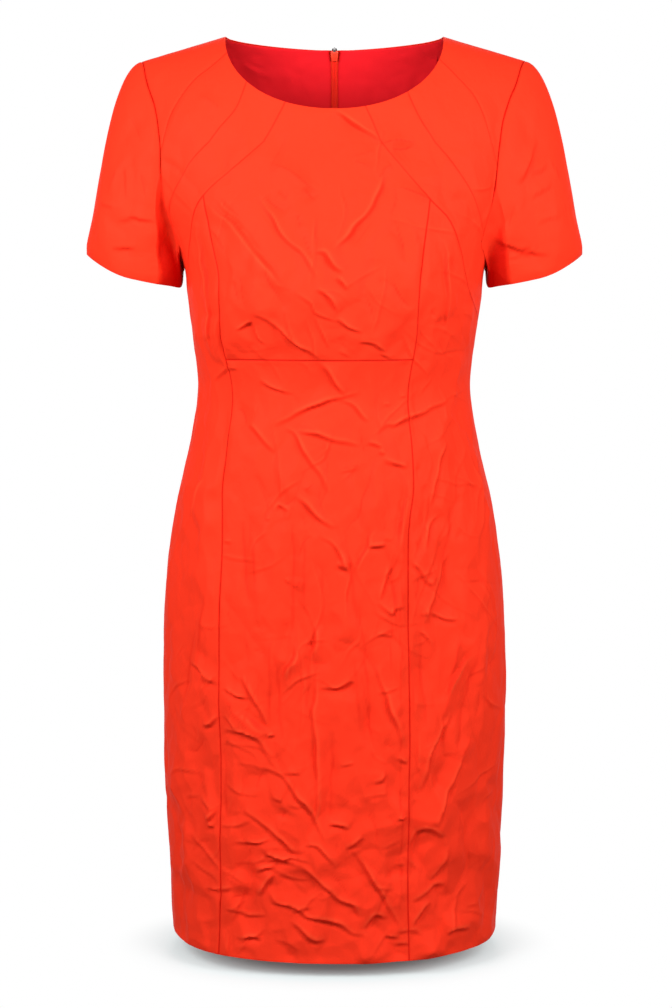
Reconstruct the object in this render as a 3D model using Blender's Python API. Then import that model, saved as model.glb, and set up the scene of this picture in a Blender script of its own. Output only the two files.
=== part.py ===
"""A fitted knee-length dress in plain cotton sateen, filled out as it hangs when worn.

Millimetres in the tables, metres in Blender. X runs to the wearer's left, Y to the back and Z up.
The origin lies midway between the two points where the neckline meets the shoulder seams.
Every panel is one cut piece: a wall of cloth between its seam lines, laid on one shared form.
"""

import math
from collections import namedtuple

import bpy
import numpy as np
from mathutils import Matrix, Vector

for old in list(bpy.data.objects):
    bpy.data.objects.remove(old, do_unlink=True)

MM = 0.001
CLOTH = 1.6  # wall of the outer cloth with its turned edges
LINING = 1.0  # wall of the lining
SEAM_INSET = 0.16  # each panel stops this short of its seam line, so neighbours are 0.3 apart
SIDES = {"left": 1, "right": -1}

# ---------------------------------------------------------------- the form the cloth hangs on
SHOULDER_START = -110.0  # above this level the form curls over to the shoulder line
NECK_HALF = 110.0  # the neckline meets the shoulder seams this far out
SHOULDER_SLOPE = 0.29
NAPE_RISE, NAPE_REACH = 28.0, 50.0  # how the form would rise to a neck, inside the neckline

Section = namedtuple("Section", "level half_width front back squareness")
SECTIONS = (
    Section(-936, 172.3, 122, 112, 2.45),  # hem
    Section(-780, 178.2, 120, 121, 2.40),
    Section(-650, 180.2, 118, 124, 2.35),  # seat
    Section(-552, 176.2, 115, 118, 2.30),
    Section(-473, 163.0, 110, 104, 2.30),  # high hip
    Section(-410, 149.0, 104, 94, 2.20),
    Section(-355, 141.4, 101, 90, 2.20),  # waist
    Section(-331, 143.0, 107, 92, 2.25),
    Section(-300, 147.4, 118, 95, 2.30),
    Section(-262, 152.5, 127, 99, 2.30),  # bust
    Section(-232, 155.8, 124, 101, 2.30),  # underarm
    Section(-200, 165.5, 117, 101, 2.30),
    Section(-160, 187.0, 104, 97, 2.30),  # above the underarm the half width is the arm's side
    Section(-110, 205.0, 86, 84, 2.30),
    Section(-55, 213.0, 68, 68, 2.30),
    Section(0, 214.0, 56, 62, 2.30),
)
LEVELS = np.array([row.level for row in SECTIONS], float)
SIZES = np.array([row[1:] for row in SECTIONS], float)
SLOPES = np.gradient(SIZES, LEVELS, axis=0)

# The broad soft folds: where each starts and ends as seen square on, and its half width and rise.
Fold = namedtuple("Fold", "face x z to_x to_z half_width rise")
FOLDS = (
    Fold("front", -100, -400, -20, -470, 26, 2.2),
    Fold("front", 30, -470, 105, -395, 26, 2.4),
    Fold("front", -25, -560, -20, -760, 30, -2.4),
    Fold("front", 90, -600, 130, -520, 28, -2.6),
    Fold("front", 150, -610, 95, -740, 30, 3.0),
    Fold("front", -150, -560, -105, -700, 30, 2.6),
    Fold("front", -70, -740, 0, -860, 30, 2.8),
    Fold("front", 120, -800, 60, -900, 30, -2.6),
    Fold("front", -130, -860, -60, -925, 28, -2.6),
    Fold("back", -60, -430, 50, -400, 26, 2.4),
    Fold("back", 70, -500, 10, -620, 30, -2.4),
    Fold("back", -110, -620, -60, -780, 30, 2.8),
    Fold("back", 120, -660, 60, -840, 30, 2.8),
    Fold("back", -20, -780, 30, -900, 28, -2.6),
    Fold("back", -90, -300, -20, -250, 26, 2.0),
)


def sizes_at(level):
    """Half width, front depth, back depth and squareness at a level, eased between the rows."""
    level = np.clip(level, LEVELS[0], LEVELS[-1])
    row = np.clip(np.searchsorted(LEVELS, level) - 1, 0, len(LEVELS) - 2)
    span = (LEVELS[row + 1] - LEVELS[row])[..., None]
    k = (level - LEVELS[row])[..., None] / span
    eased = k * k * (3 - 2 * k)
    sizes = SIZES[row] * (1 - eased) + SIZES[row + 1] * eased
    sizes = sizes + span * k * (1 - k) * (SLOPES[row] * (1 - k) - SLOPES[row + 1] * k)
    return np.moveaxis(sizes, -1, 0)


def shoulder_line(x):
    """Height of the shoulder line, which runs on over the neck opening as a smooth hump."""
    return NAPE_RISE * np.exp(-((x / NAPE_REACH) ** 2)) - SHOULDER_SLOPE * (np.abs(x) - NECK_HALF)


def fold_rise(x, z, face):
    """How far the broad folds of one face move the cloth out at a place seen square on."""
    rise = np.zeros_like(x)
    for fold in FOLDS:
        if fold.face != face:
            continue
        run = np.array([fold.to_x - fold.x, fold.to_z - fold.z], float)
        length = math.hypot(*run)
        along = ((x - fold.x) * run[0] + (z - fold.z) * run[1]) / length**2
        across = ((x - fold.x) * run[1] - (z - fold.z) * run[0]) / length
        beyond = np.maximum(np.abs(along - 0.5) - 0.3, 0) * length
        rise += fold.rise * np.exp(-(np.hypot(across, beyond) / fold.half_width) ** 2)
    return rise


def form_point(angle, level):
    """A point of the form: the angle runs from the front centre to the wearer's left."""
    half_width, front, back, squareness = sizes_at(level)
    depth = np.where(np.cos(angle) > 0, front, back)
    total = np.abs(np.cos(angle) / depth) ** squareness
    total += np.abs(np.sin(angle) / half_width) ** squareness
    reach = total ** (-1 / squareness)
    facing = np.abs(np.cos(angle))
    for face, there in (("front", np.cos(angle) > 0), ("back", np.cos(angle) <= 0)):
        rise = fold_rise(reach * np.sin(angle), level, face)
        reach = reach + np.where(there, rise * facing**0.5, 0)
    x = reach * np.sin(angle)
    turn = np.clip(1 - level / SHOULDER_START, 0, 1) * math.pi / 2
    curl = SHOULDER_START + (shoulder_line(x) - SHOULDER_START) * np.sin(turn)
    return np.stack([x, -reach * np.cos(angle) * np.cos(turn), np.where(turn > 0, curl, level)], -1)


def form_normal(angle, level):
    """The outward direction of the form."""
    step = 0.002
    around = form_point(angle + step, level) - form_point(angle - step, level)
    up = form_point(angle, level + 0.5) - form_point(angle, level - 0.5)
    top = level > -0.5
    up[top] = (form_point(angle, level) - form_point(angle, level - 1.0))[top]
    normal = np.cross(around, up)
    return normal / np.linalg.norm(normal, axis=-1, keepdims=True)


def place(x, z, back=False):
    """The angle and level of a point of the front or back, given as seen square on."""
    level = z
    if z > SHOULDER_START:
        share = (z - SHOULDER_START) / (shoulder_line(x) - SHOULDER_START)
        level = SHOULDER_START * (1 - math.asin(min(share, 1.0)) * 2 / math.pi)
    half_width, front_depth, back_depth, squareness = sizes_at(np.array(float(level)))
    rest = max(0.0, 1 - (abs(x) / half_width) ** squareness) ** (1 / squareness)
    angle = math.atan2(x, rest * front_depth)
    if back:
        angle = math.copysign(math.pi - abs(math.atan2(x, rest * back_depth)), x)
    return angle, float(level)


# ---------------------------------------------------------------- seam lines
NECK_END = 111.3  # half the width of the neckline
NECK_FRONT_DROP, NECK_FRONT_ROUND = 77.5, 2.1
NECK_BACK_DROP, NECK_BACK_ROUND = 9.5, 1.6
SHOULDER_TIP = {"left": 196.5, "right": -198.0}
UNDERARM = -231.0
HEM_SIDE, HEM_DIP = -930.5, 9.5
WAIST_SEAM = -326.5
NAPE_X = 0.02  # each back panel's neck edge starts this far from the centre
ABOVE_FORM = 50.0  # a height above the whole form: a point placed there lands on the shoulder line
CELLS = dict(neck=9, inner=4, outer=6, upper=7, lower=19, shoulder=5, yoke=3, pit=2, short=3, tip=4)


def neck(x, drop, roundness):
    """Height of the neckline, a flattened half ellipse."""
    return -drop * max(0.0, 1 - abs(x / NECK_END) ** roundness) ** (1 / roundness)


def neck_front(x):
    return neck(x, NECK_FRONT_DROP, NECK_FRONT_ROUND)


def neck_back(x):
    return neck(x, NECK_BACK_DROP, NECK_BACK_ROUND)


# Points (x, z) that each seam passes through, as seen square on from the front.
# The inner seam runs from the neckline round to the side seam, the princess seam leaves it
# downwards, and the two shoulder seams above it run from the neckline to the armhole.
SEAM_POINTS = {
    "left": dict(
        armhole_top=((186, -45), (177, -66), (168, -97), (163.5, -135)),
        armhole_middle=((158, -174), (150.5, -203)),
        armhole_pit=((150, -217),),
        upper=((122, -42), (142, -66), (156, -103)),
        middle=((85, -86), (103, -113), (128, -145), (144, -175)),
        inner=((41, -97), (63, -130), (95, -167)),
        outer=((114, -186), (125, -212), (138, -262)),
        princess_top=((87, -227), (84, -266), (79, WAIST_SEAM)),
        princess=((79, -446), (74, -520), (76, -730)),
        neck=(31, 73, 106),
        inner_end=-300.0,
        princess_hem=76.5,
    ),
    "right": dict(
        armhole_top=((-191, -46), (-181, -75), (-177, -98), (-175, -120)),
        armhole_middle=((-173, -153), (-165.5, -185)),
        armhole_pit=((-157, -208),),
        upper=((-124, -33), (-143, -49), (-163, -80)),
        middle=((-98, -76), (-117, -99), (-142, -127), (-157, -151)),
        inner=((-65, -101), (-98, -134), (-131, -163)),
        outer=((-141, -181), (-146, -210), (-150, -238)),
        princess_top=((-122, -210), (-115, -256), (-109, WAIST_SEAM)),
        princess=((-112, -446), (-114, -520), (-116, -730)),
        neck=(-49, -88, -108.5),
        inner_end=-264.0,
        princess_hem=-119.0,
    ),
}
BACK_ARMHOLE = ((188, -44), (178, -75), (172, -105), (169, -140), (164, -172), (157, -200))


def smooth_run(stops, counts):
    """Points on one smooth line through stops, evenly spaced in each stretch.

    stops is a list of stretches, each a list of (angle, level), where a stretch starts at the
    last point of the one before. counts holds the number of cells of each stretch.
    """
    knots = np.array([p for stretch in stops for p in stretch], float)
    slopes = np.gradient(knots, axis=0)
    ends = np.cumsum([len(stretch) for stretch in stops]) - 1
    starts = [0, *ends[:-1]]
    run = [knots[:1]]
    for first, last, count in zip(starts, ends, counts):
        at = np.linspace(first, last, 60 * (last - first) + 1)
        row = np.minimum(at.astype(int), last - 1)
        k = (at - row)[:, None]
        eased = k * k * (3 - 2 * k)
        line = knots[row] * (1 - eased) + knots[row + 1] * eased
        line += k * (1 - k) * (slopes[row] * (1 - k) - slopes[row + 1] * k)
        shape = form_point(line[:, 0], line[:, 1])
        far = np.concatenate([[0], np.cumsum(np.linalg.norm(np.diff(shape, axis=0), axis=1))])
        wanted = np.linspace(0, far[-1], count + 1)[1:]
        run.append(np.stack([np.interp(wanted, far, line[:, c]) for c in (0, 1)], -1))
    return np.concatenate(run)


def join(*runs):
    """One line from several, each starting where the last one ends."""
    return np.concatenate([runs[0], *(run[1:] for run in runs[1:])])


def hem_level(angle):
    return HEM_SIDE - HEM_DIP * abs(math.cos(angle)) ** 0.7


def neck_run(x_from, x_to, count, back=False):
    """A stretch of the neckline between two places across it."""
    edge = neck_back if back else neck_front
    end = [math.acos(min(1, max(-1, x / NECK_END))) for x in (x_from, x_to)]
    xs = NECK_END * np.cos(np.linspace(*end, 12))
    return smooth_run([[place(x, edge(x), back) for x in xs]], [count])


def hem_run(angle_from, angle_to, count):
    angles = np.linspace(angle_from, angle_to, 12)
    return smooth_run([[(a, hem_level(a)) for a in angles]], [count])


def on_front(points):
    return [place(x, z) for x, z in points]


def side_lines(side):
    """All the seam lines of one side as lists of (angle, level)."""
    table, sign = SEAM_POINTS[side], SIDES[side]
    quarter = sign * math.pi / 2
    centre = sign * math.pi
    corner = (quarter, table["inner_end"])
    high_x, tip_x = sign * NECK_END, SHOULDER_TIP[side]
    tip_front, tip_back = place(tip_x, ABOVE_FORM), place(tip_x, ABOVE_FORM, back=True)
    neck_x = dict(zip(("inner", "middle", "upper"), table["neck"]))
    neck_at = {name: on_front([(x, neck_front(x))]) for name, x in neck_x.items()}
    yoke_ends, pit_ends = CELLS["shoulder"], CELLS["shoulder"] + CELLS["yoke"]
    band_cells = CELLS["inner"] + CELLS["outer"] - CELLS["pit"]
    lines = {}

    # The armhole runs down the front to the side seam, and down the back to the same point.
    armhole = [
        [tip_front, *on_front(table["armhole_top"])],
        on_front(table["armhole_middle"]),
        [*on_front(table["armhole_pit"]), (quarter, UNDERARM)],
    ]
    front = smooth_run(armhole, [CELLS["shoulder"], CELLS["yoke"], CELLS["pit"]])
    back_stops = [place(sign * x, z, back=True) for x, z in BACK_ARMHOLE]
    lines["armhole_front"] = front
    lines["armhole_top"] = front[: yoke_ends + 1]
    lines["armhole_middle"] = front[yoke_ends : pit_ends + 1]
    lines["armhole_pit"] = front[pit_ends:]
    lines["armhole_back"] = smooth_run([[tip_back, *back_stops, (quarter, UNDERARM)]], [len(front) - 1])

    # The seams across the shoulder and the bust, and the princess seam down to the hem.
    upper_stops = [*neck_at["upper"], *on_front(table["upper"]), tuple(front[yoke_ends])]
    middle_stops = [*neck_at["middle"], *on_front(table["middle"]), tuple(front[pit_ends])]
    inner_stops = [[*neck_at["inner"], *on_front(table["inner"])], [*on_front(table["outer"]), corner]]
    lines["upper"] = smooth_run([upper_stops], [band_cells])
    lines["middle"] = smooth_run([middle_stops], [band_cells])
    lines["inner"] = smooth_run(inner_stops, [CELLS["inner"], CELLS["outer"]])
    junction = tuple(lines["inner"][CELLS["inner"]])
    hem_angle = place(table["princess_hem"], HEM_SIDE)[0]
    princess_stops = [
        [junction, *on_front(table["princess_top"])],
        [*on_front(table["princess"]), (hem_angle, hem_level(hem_angle))],
    ]
    lines["princess"] = smooth_run(princess_stops, [CELLS["upper"], CELLS["lower"]])

    # The side seam, the shoulder seam and the neckline.
    lines["side_top"] = smooth_run([[(quarter, UNDERARM), corner]], [CELLS["short"]])
    side_end = (quarter, hem_level(quarter))
    lines["side"] = smooth_run([[corner, side_end]], [CELLS["upper"] + CELLS["lower"]])
    lines["shoulder_front"] = smooth_run([[place(high_x, ABOVE_FORM), tip_front]], [band_cells])
    high_back = place(high_x, ABOVE_FORM, back=True)
    lines["shoulder_back"] = smooth_run([[high_back, tip_back]], [CELLS["tip"]])
    lines["neck_shoulder"] = neck_run(high_x, neck_x["upper"], CELLS["shoulder"])
    lines["neck_upper"] = neck_run(neck_x["upper"], neck_x["middle"], CELLS["yoke"])
    lines["neck_lower"] = neck_run(neck_x["middle"], neck_x["inner"], CELLS["short"])
    lines["neck_back"] = neck_run(sign * NAPE_X, high_x, CELLS["shoulder"], back=True)

    # The centre back, which the zip closes, and the hem.
    nape = place(sign * NAPE_X, neck_back(0), back=True)[1]
    rows = len(front) + len(lines["side_top"]) + len(lines["side"]) - 3
    lines["centre_back"] = smooth_run([[(centre, nape), (centre, hem_level(centre))]], [rows])
    lines["hem_side"] = hem_run(hem_angle, quarter, CELLS["outer"])
    lines["hem_back"] = hem_run(centre, quarter, CELLS["shoulder"] + CELLS["tip"])
    return lines


LINES = {side: side_lines(side) for side in SIDES}


# ---------------------------------------------------------------- cloth walls
def patch(top, bottom, start, end):
    """A net of (angle, level) filling four seam lines.

    top and bottom run the same way, and start and end join their ends, downwards.
    """
    across = np.linspace(0, 1, len(top))[None, :, None]
    down = np.linspace(0, 1, len(start))[:, None, None]
    net = (1 - down) * top[None] + down * bottom[None]
    net = net + (1 - across) * start[:, None] + across * end[:, None]
    corners = (1 - down) * ((1 - across) * top[0] + across * top[-1])
    corners = corners + down * ((1 - across) * bottom[0] + across * bottom[-1])
    return net - corners


def wall_mesh(name, outer, inner, closed=False):
    """A closed wall between two nets of points with the same rows and columns."""
    rows, columns = outer.shape[:2]
    corner = np.arange(rows * columns).reshape(rows, columns)
    far = corner + rows * columns
    if closed:
        corner = np.concatenate([corner, corner[:, :1]], 1)
        far = np.concatenate([far, far[:, :1]], 1)
    faces = []
    for face, order in ((corner, [0, 1, 2, 3]), (far, [0, 3, 2, 1])):
        quads = np.stack([face[:-1, :-1], face[1:, :-1], face[1:, 1:], face[:-1, 1:]], -1)
        faces.extend(quads.reshape(-1, 4)[:, order].tolist())
    edges = [(corner[0], far[0]), (corner[-1, ::-1], far[-1, ::-1])]
    if not closed:
        edges += [(corner[::-1, 0], far[::-1, 0]), (corner[:, -1], far[:, -1])]
    for near, across in edges:
        faces.extend(np.stack([near[:-1], near[1:], across[1:], across[:-1]], -1).tolist())
    mesh = bpy.data.meshes.new(name)
    points = np.concatenate([outer.reshape(-1, 3), inner.reshape(-1, 3)]) * MM
    mesh.from_pydata(points.tolist(), [], faces)
    mesh.update()
    if sum(p.area * p.normal.dot(p.center - mesh.vertices[0].co) for p in mesh.polygons) < 0:
        mesh.flip_normals()
    mesh.shade_smooth()
    mesh.set_sharp_from_angle(angle=math.radians(50))
    return mesh


def finish(name, mesh, colour, roughness, metallic=0.0, sheen=0.0):
    material = bpy.data.materials.new(name)
    material.use_nodes = True
    surface = material.node_tree.nodes["Principled BSDF"]
    surface.inputs["Base Color"].default_value = (*colour, 1)
    surface.inputs["Roughness"].default_value = roughness
    surface.inputs["Metallic"].default_value = metallic
    surface.inputs["Sheen Weight"].default_value = sheen
    mesh.materials.append(material)
    piece = bpy.data.objects.new(name, mesh)
    bpy.context.scene.collection.objects.link(piece)
    return piece


ORANGE = (0.90, 0.045, 0.018)
CRIMSON = (0.72, 0.012, 0.016)
STEEL = (0.42, 0.41, 0.40)


def panel(name, net, depth=0.0, wall=CLOTH, insets=(SEAM_INSET,) * 4, colour=ORANGE):
    """A cut panel over a net, its outer face a depth inside the form, finished as plain cloth.

    insets are how far it stops short of its top, bottom, start and end lines.
    """
    points = form_point(net[..., 0], net[..., 1])
    rims = (
        (np.s_[0], np.s_[1]),
        (np.s_[-1], np.s_[-2]),
        (np.s_[:, 0], np.s_[:, 1]),
        (np.s_[:, -1], np.s_[:, -2]),
    )
    moved = points.copy()
    for (rim, inner), inset in zip(rims, insets):
        step = points[inner] - points[rim]
        moved[rim] += step / np.linalg.norm(step, axis=-1, keepdims=True) * inset
    normals = form_normal(net[..., 0], net[..., 1])
    mesh = wall_mesh(name, moved - depth * normals, moved - (depth + wall) * normals)
    return finish(name, mesh, colour, 0.55, sheen=0.25)


left, right = LINES["left"], LINES["right"]

# ---------------------------------------------------------------- front panels
neck_centre = neck_run(SEAM_POINTS["right"]["neck"][0], SEAM_POINTS["left"]["neck"][0], CELLS["neck"])
waist_ends = [SEAM_POINTS[side]["princess_top"][-1][0] for side in ("right", "left")]
waist_stops = on_front([(x, WAIST_SEAM) for x in np.linspace(*waist_ends, 9)])
waist = smooth_run([waist_stops], [CELLS["neck"]])


def bodice_edge(lines):
    return join(lines["inner"][: CELLS["inner"] + 1], lines["princess"][: CELLS["upper"] + 1])


def skirt_edge(lines):
    return lines["princess"][CELLS["upper"] :]


panel("front_bodice_centre", patch(neck_centre, waist, bodice_edge(right), bodice_edge(left)))
hem_centre = hem_run(right["princess"][-1][0], left["princess"][-1][0], CELLS["neck"])
panel("front_skirt_centre", patch(waist, hem_centre, skirt_edge(right), skirt_edge(left)))
for side, lines in LINES.items():
    round_bust = lines["inner"][CELLS["inner"] :]
    panel(f"front_side_{side}", patch(round_bust, lines["hem_side"], lines["princess"], lines["side"]))
    outer_edge = join(lines["middle"], lines["armhole_pit"])
    lower_band = patch(outer_edge, lines["inner"], lines["neck_lower"], lines["side_top"])
    panel(f"front_band_lower_{side}", lower_band)
    upper_band = patch(lines["upper"], lines["middle"], lines["neck_upper"], lines["armhole_middle"])
    panel(f"front_band_upper_{side}", upper_band)
    yoke = patch(lines["shoulder_front"], lines["upper"], lines["neck_shoulder"], lines["armhole_top"])
    panel(f"front_shoulder_{side}", yoke)

# ---------------------------------------------------------------- back panels
BACK_NETS = {}
for side, lines in LINES.items():
    top_edge = join(lines["neck_back"], lines["shoulder_back"])
    outer_edge = join(lines["armhole_back"], lines["side_top"], lines["side"])
    BACK_NETS[side] = patch(top_edge, lines["hem_back"], lines["centre_back"], outer_edge)
    panel(f"back_{side}", BACK_NETS[side])

# ---------------------------------------------------------------- sleeves
SLEEVE_HEM_CENTRE = (207.4, 3.0, -232.0)
SLEEVE_HEM_OUT = (49.6, 0.0, 10.5)  # from the centre to the outer end of the hem
SLEEVE_HEM_FRONT = (0.0, -44.0, -14.5)  # from the centre to the front of the hem
SLEEVE_HEM_ROUND = (2.1, 4.2)  # squareness of the hem on its outer and inner halves
SLEEVE_START = 0.65  # how far the sleeve's edge stands off the armhole edge
CAP_OUT = (28.0, 0.0, -9.0)  # how the cloth leaves the armhole at the top, the middle and the pit
MIDDLE_OUT = (17.0, -6.0, -38.0)
PIT_OUT = (0.6, 0.0, -3.5)
HEM_PULL = (100.0, 44.0, 4.0)  # how long it then runs straight to the hem in those three places
SLEEVE_CELLS = 7


def sleeve_mesh(side):
    """The sleeve as a tube from the armhole loop to the tilted hem ring."""
    sign, lines = SIDES[side], LINES[side]
    loop = np.concatenate([lines["armhole_front"], lines["armhole_back"][-2:0:-1]])
    half = len(lines["armhole_front"]) - 1
    ring = math.pi * np.arange(2 * half) / half
    mirror = np.array([sign, 1, 1])
    reach, face = np.cos(ring)[:, None], np.sin(ring)[:, None]
    power = 2 / np.where(reach > 0, *SLEEVE_HEM_ROUND)
    hem = np.sign(reach) * np.abs(reach) ** power * np.array(SLEEVE_HEM_OUT)
    hem = hem + np.sign(face) * np.abs(face) ** power * np.array(SLEEVE_HEM_FRONT) + SLEEVE_HEM_CENTRE
    axis = np.cross(SLEEVE_HEM_OUT, SLEEVE_HEM_FRONT)
    axis /= -np.linalg.norm(axis) * np.sign(axis[2])
    cap, pit, middle = np.maximum(reach, 0) ** 1.5, np.maximum(-reach, 0) ** 0.9, np.abs(face)
    share = cap + pit + middle
    toward = np.where(face < 0, -1, 1) * [0, 1, 0] + [1, 0, 1]
    leave = (cap * CAP_OUT + middle * np.array(MIDDLE_OUT) * toward + pit * PIT_OUT) / share
    pull = (cap * HEM_PULL[0] + middle * HEM_PULL[1] + pit * HEM_PULL[2]) / share
    hem, leave, axis = hem * mirror, leave * mirror, axis * mirror
    edge = form_point(loop[:, 0], loop[:, 1])
    lean = leave / np.linalg.norm(leave, axis=1, keepdims=True) + form_normal(loop[:, 0], loop[:, 1])
    edge = edge + SLEEVE_START * lean / np.linalg.norm(lean, axis=1, keepdims=True)
    k = np.linspace(0, 1, SLEEVE_CELLS + 1)[:, None, None]
    tube = (1 - k) ** 3 * edge + 3 * k * (1 - k) ** 2 * (edge + leave)
    tube = tube + 3 * k * k * (1 - k) * (hem - axis * pull) + k**3 * hem
    down = np.gradient(tube, axis=0)
    around = np.roll(tube, -1, 1) - np.roll(tube, 1, 1)
    normal = np.cross(around, down) * sign
    normal /= np.linalg.norm(normal, axis=2, keepdims=True)
    return wall_mesh(f"sleeve_{side}", tube, tube - CLOTH * normal, closed=True)


for side in SIDES:
    finish(f"sleeve_{side}", sleeve_mesh(side), ORANGE, 0.55, sheen=0.25)


# ---------------------------------------------------------------- lining inside the back neck
LINING_DEPTH = 3.1  # its outer face lies this far inside the form, clear of the zip tape
LINING_ROWS = 5  # it ends with this row of the back panel
LINING_AT_NECK, LINING_AT_ARMHOLE = 1.0, 5.0  # how far it stops short of those edges
ZIP_OPENING = np.array([6.5, *[3.6] * LINING_ROWS])[:, None]  # half the gap that it leaves for the zip
for side, net in BACK_NETS.items():
    panel(
        f"back_lining_{side}",
        net[: LINING_ROWS + 1],
        depth=LINING_DEPTH,
        wall=LINING,
        insets=(LINING_AT_NECK, 0.0, ZIP_OPENING, LINING_AT_ARMHOLE),
        colour=CRIMSON,
    )

# ---------------------------------------------------------------- centre-back zip
# Each half is a tape behind the back panel with the folded coil along its edge.
TAPE_DEPTH, TAPE_WALL, TAPE_WIDTH = 1.95, 0.8, 11.0
COIL_EDGE, COIL_WIDTH, COIL_HEIGHT = 0.2, 2.4, 2.4
ZIP_START = 3.0  # below the neck edge
ZIP_ROWS = 22  # it ends with this row of the back panel


def zip_half_mesh(side):
    """The tape and its coil as one bar on the inside of the back panel, along its centre edge."""
    tape_in, coil_in = TAPE_DEPTH + TAPE_WALL, TAPE_DEPTH + COIL_HEIGHT
    coil_out = COIL_EDGE + COIL_WIDTH
    profile = np.array(
        [
            (COIL_EDGE, TAPE_DEPTH),
            (COIL_EDGE, coil_in),
            (coil_out, coil_in),
            (coil_out, tape_in),
            (TAPE_WIDTH, tape_in),
            (TAPE_WIDTH, TAPE_DEPTH),
        ]
    )
    net = BACK_NETS[side][: ZIP_ROWS + 1, :2]
    points, normals = form_point(net[..., 0], net[..., 1]), form_normal(net[..., 0], net[..., 1])
    drop = ZIP_START / np.linalg.norm(points[1, 0] - points[0, 0])
    points[0] += (points[1] - points[0]) * drop
    share = (profile[:, 0] / np.linalg.norm(points[1, 1] - points[1, 0]))[:, None]
    loops = points[:, :1] * (1 - share) + points[:, 1:] * share
    loops = loops - (normals[:, :1] * (1 - share) + normals[:, 1:] * share) * profile[:, 1:]
    count = len(profile)
    faces = [tuple(range(count)), tuple(range(ZIP_ROWS * count, (ZIP_ROWS + 1) * count))[::-1]]
    for row in range(ZIP_ROWS):
        for i in range(count):
            j = (i + 1) % count
            near, far = row * count, (row + 1) * count
            faces.append((near + i, far + i, far + j, near + j))
    mesh = bpy.data.meshes.new(f"zip_tape_{side}")
    mesh.from_pydata((loops.reshape(-1, 3) * MM).tolist(), [], faces)
    mesh.update()
    if side == "right":
        mesh.flip_normals()
    return mesh


for side in SIDES:
    finish(f"zip_tape_{side}", zip_half_mesh(side), ORANGE, 0.6)

# The slider's plate lies inside the coil, its bar passes over the neck edge and its eye, outside,
# holds the pull. Places here are (across, down the back, out from the back) from the neck edge.
PLATE_TOP, PLATE_END, PLATE_IN, PLATE_THICK = -1.0, 9.4, 5.3, 1.5
PLATE_HALF_TOP, PLATE_HALF_END = 4.1, 3.1
BAR_HALF, BAR_TOP, BAR_END = 1.2, -2.6, -0.8
EYE_HALF, EYE_WALL = 0.55, 0.7
EYE_FROM, EYE_TO = (-3.0, 0.5), (2.2, 3.5)
PIVOT_DOWN, PIVOT_OUT = -1.5, 2.0
PULL_THICK, PULL_HALF, PULL_ARM, PULL_LENGTH = 0.9, 2.6, 1.0, 22.0
PULL_HOLE = (0.45, 4.6)  # from the pivot down
PULL_LEAN = math.radians(-5)  # the pull's end rests nearer the cloth
nape_level = LINES["left"]["centre_back"][0][1]
nape_angle = np.array([math.pi])
NAPE = form_point(nape_angle, np.array([nape_level]))[0]
OUT = form_normal(nape_angle, np.array([nape_level]))[0] * (0, 1, 1)
DOWN = np.array([0.0, OUT[2], -OUT[1]])


def box(name, across, down, out, end_across=None):
    """A block between two places on each axis, which may narrow towards its lower end."""
    corners = []
    for level, half in ((down[0], across), (down[1], end_across or across)):
        corners += [(-half, level, out[0]), (half, level, out[0])]
        corners += [(half, level, out[1]), (-half, level, out[1])]
    faces = [(0, 1, 2, 3), (7, 6, 5, 4), (4, 5, 1, 0), (5, 6, 2, 1), (6, 7, 3, 2), (7, 4, 0, 3)]
    mesh = bpy.data.meshes.new(name)
    mesh.from_pydata(corners, [], faces)
    mesh.update()
    return mesh


def cut(piece, mesh, operation):
    """Joins a block to a piece, or cuts it away."""
    tool = bpy.data.objects.new(f"{mesh.name}_tool", mesh)
    bpy.context.scene.collection.objects.link(tool)
    tool.hide_render = True
    tool.display_type = "WIRE"
    modifier = piece.modifiers.new(operation.title(), "BOOLEAN")
    modifier.operation = operation
    modifier.solver = "EXACT"
    modifier.object = tool
    return tool


inside = (-PLATE_IN - PLATE_THICK, -PLATE_IN)
over_edge = (inside[0], EYE_FROM[1] + EYE_WALL / 2)
plate = box("zip_slider", PLATE_HALF_TOP, (PLATE_TOP, PLATE_END), inside, PLATE_HALF_END)
riser = box("riser", BAR_HALF, (BAR_TOP, PLATE_TOP + 1), inside)
bar = box("bar", BAR_HALF, (BAR_TOP, BAR_END), over_edge)
eye = box("eye", EYE_HALF, (EYE_FROM[0], EYE_TO[0]), (EYE_FROM[1], EYE_TO[1]))
hole_down = (EYE_FROM[0] + EYE_WALL, EYE_TO[0] - EYE_WALL)
hole_out = (EYE_FROM[1] + EYE_WALL, EYE_TO[1] - EYE_WALL)
eye_hole = box("eye_hole", EYE_HALF * 3, hole_down, hole_out)
slider = finish("zip_slider", plate, ORANGE, 0.4)
tools = [cut(slider, mesh, "UNION") for mesh in (riser, bar, eye)]
tools.append(cut(slider, eye_hole, "DIFFERENCE"))

pull_face = (-PULL_THICK / 2, PULL_THICK / 2)
pull_down = (-PULL_THICK / 2, PULL_LENGTH)
pull = finish("zip_pull", box("zip_pull", PULL_HALF, pull_down, pull_face), STEEL, 0.3, metallic=1.0)
pull_hole = box("pull_hole", PULL_HALF - PULL_ARM, PULL_HOLE, (-PULL_THICK, PULL_THICK))
pull_tool = cut(pull, pull_hole, "DIFFERENCE")

# The frame of the neck edge: X across, Y down the back, Z out from it.
frame = Matrix(np.column_stack([(1, 0, 0), DOWN, OUT]).tolist()).to_4x4() @ Matrix.Scale(MM, 4)
frame.translation = Vector(NAPE * MM)
slider.matrix_world = frame
for tool in tools:
    tool.matrix_world = frame
pivot = frame @ Matrix.Translation((0, PIVOT_DOWN, PIVOT_OUT)) @ Matrix.Rotation(PULL_LEAN, 4, "X")
pull.matrix_world = pivot
pull_tool.matrix_world = pivot
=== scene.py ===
"""The looks of a fitted knee-length dress in orange cotton sateen, filled out as when worn."""

import math
from collections import namedtuple

import bpy
import numpy as np
from mathutils import Matrix, Vector


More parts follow.
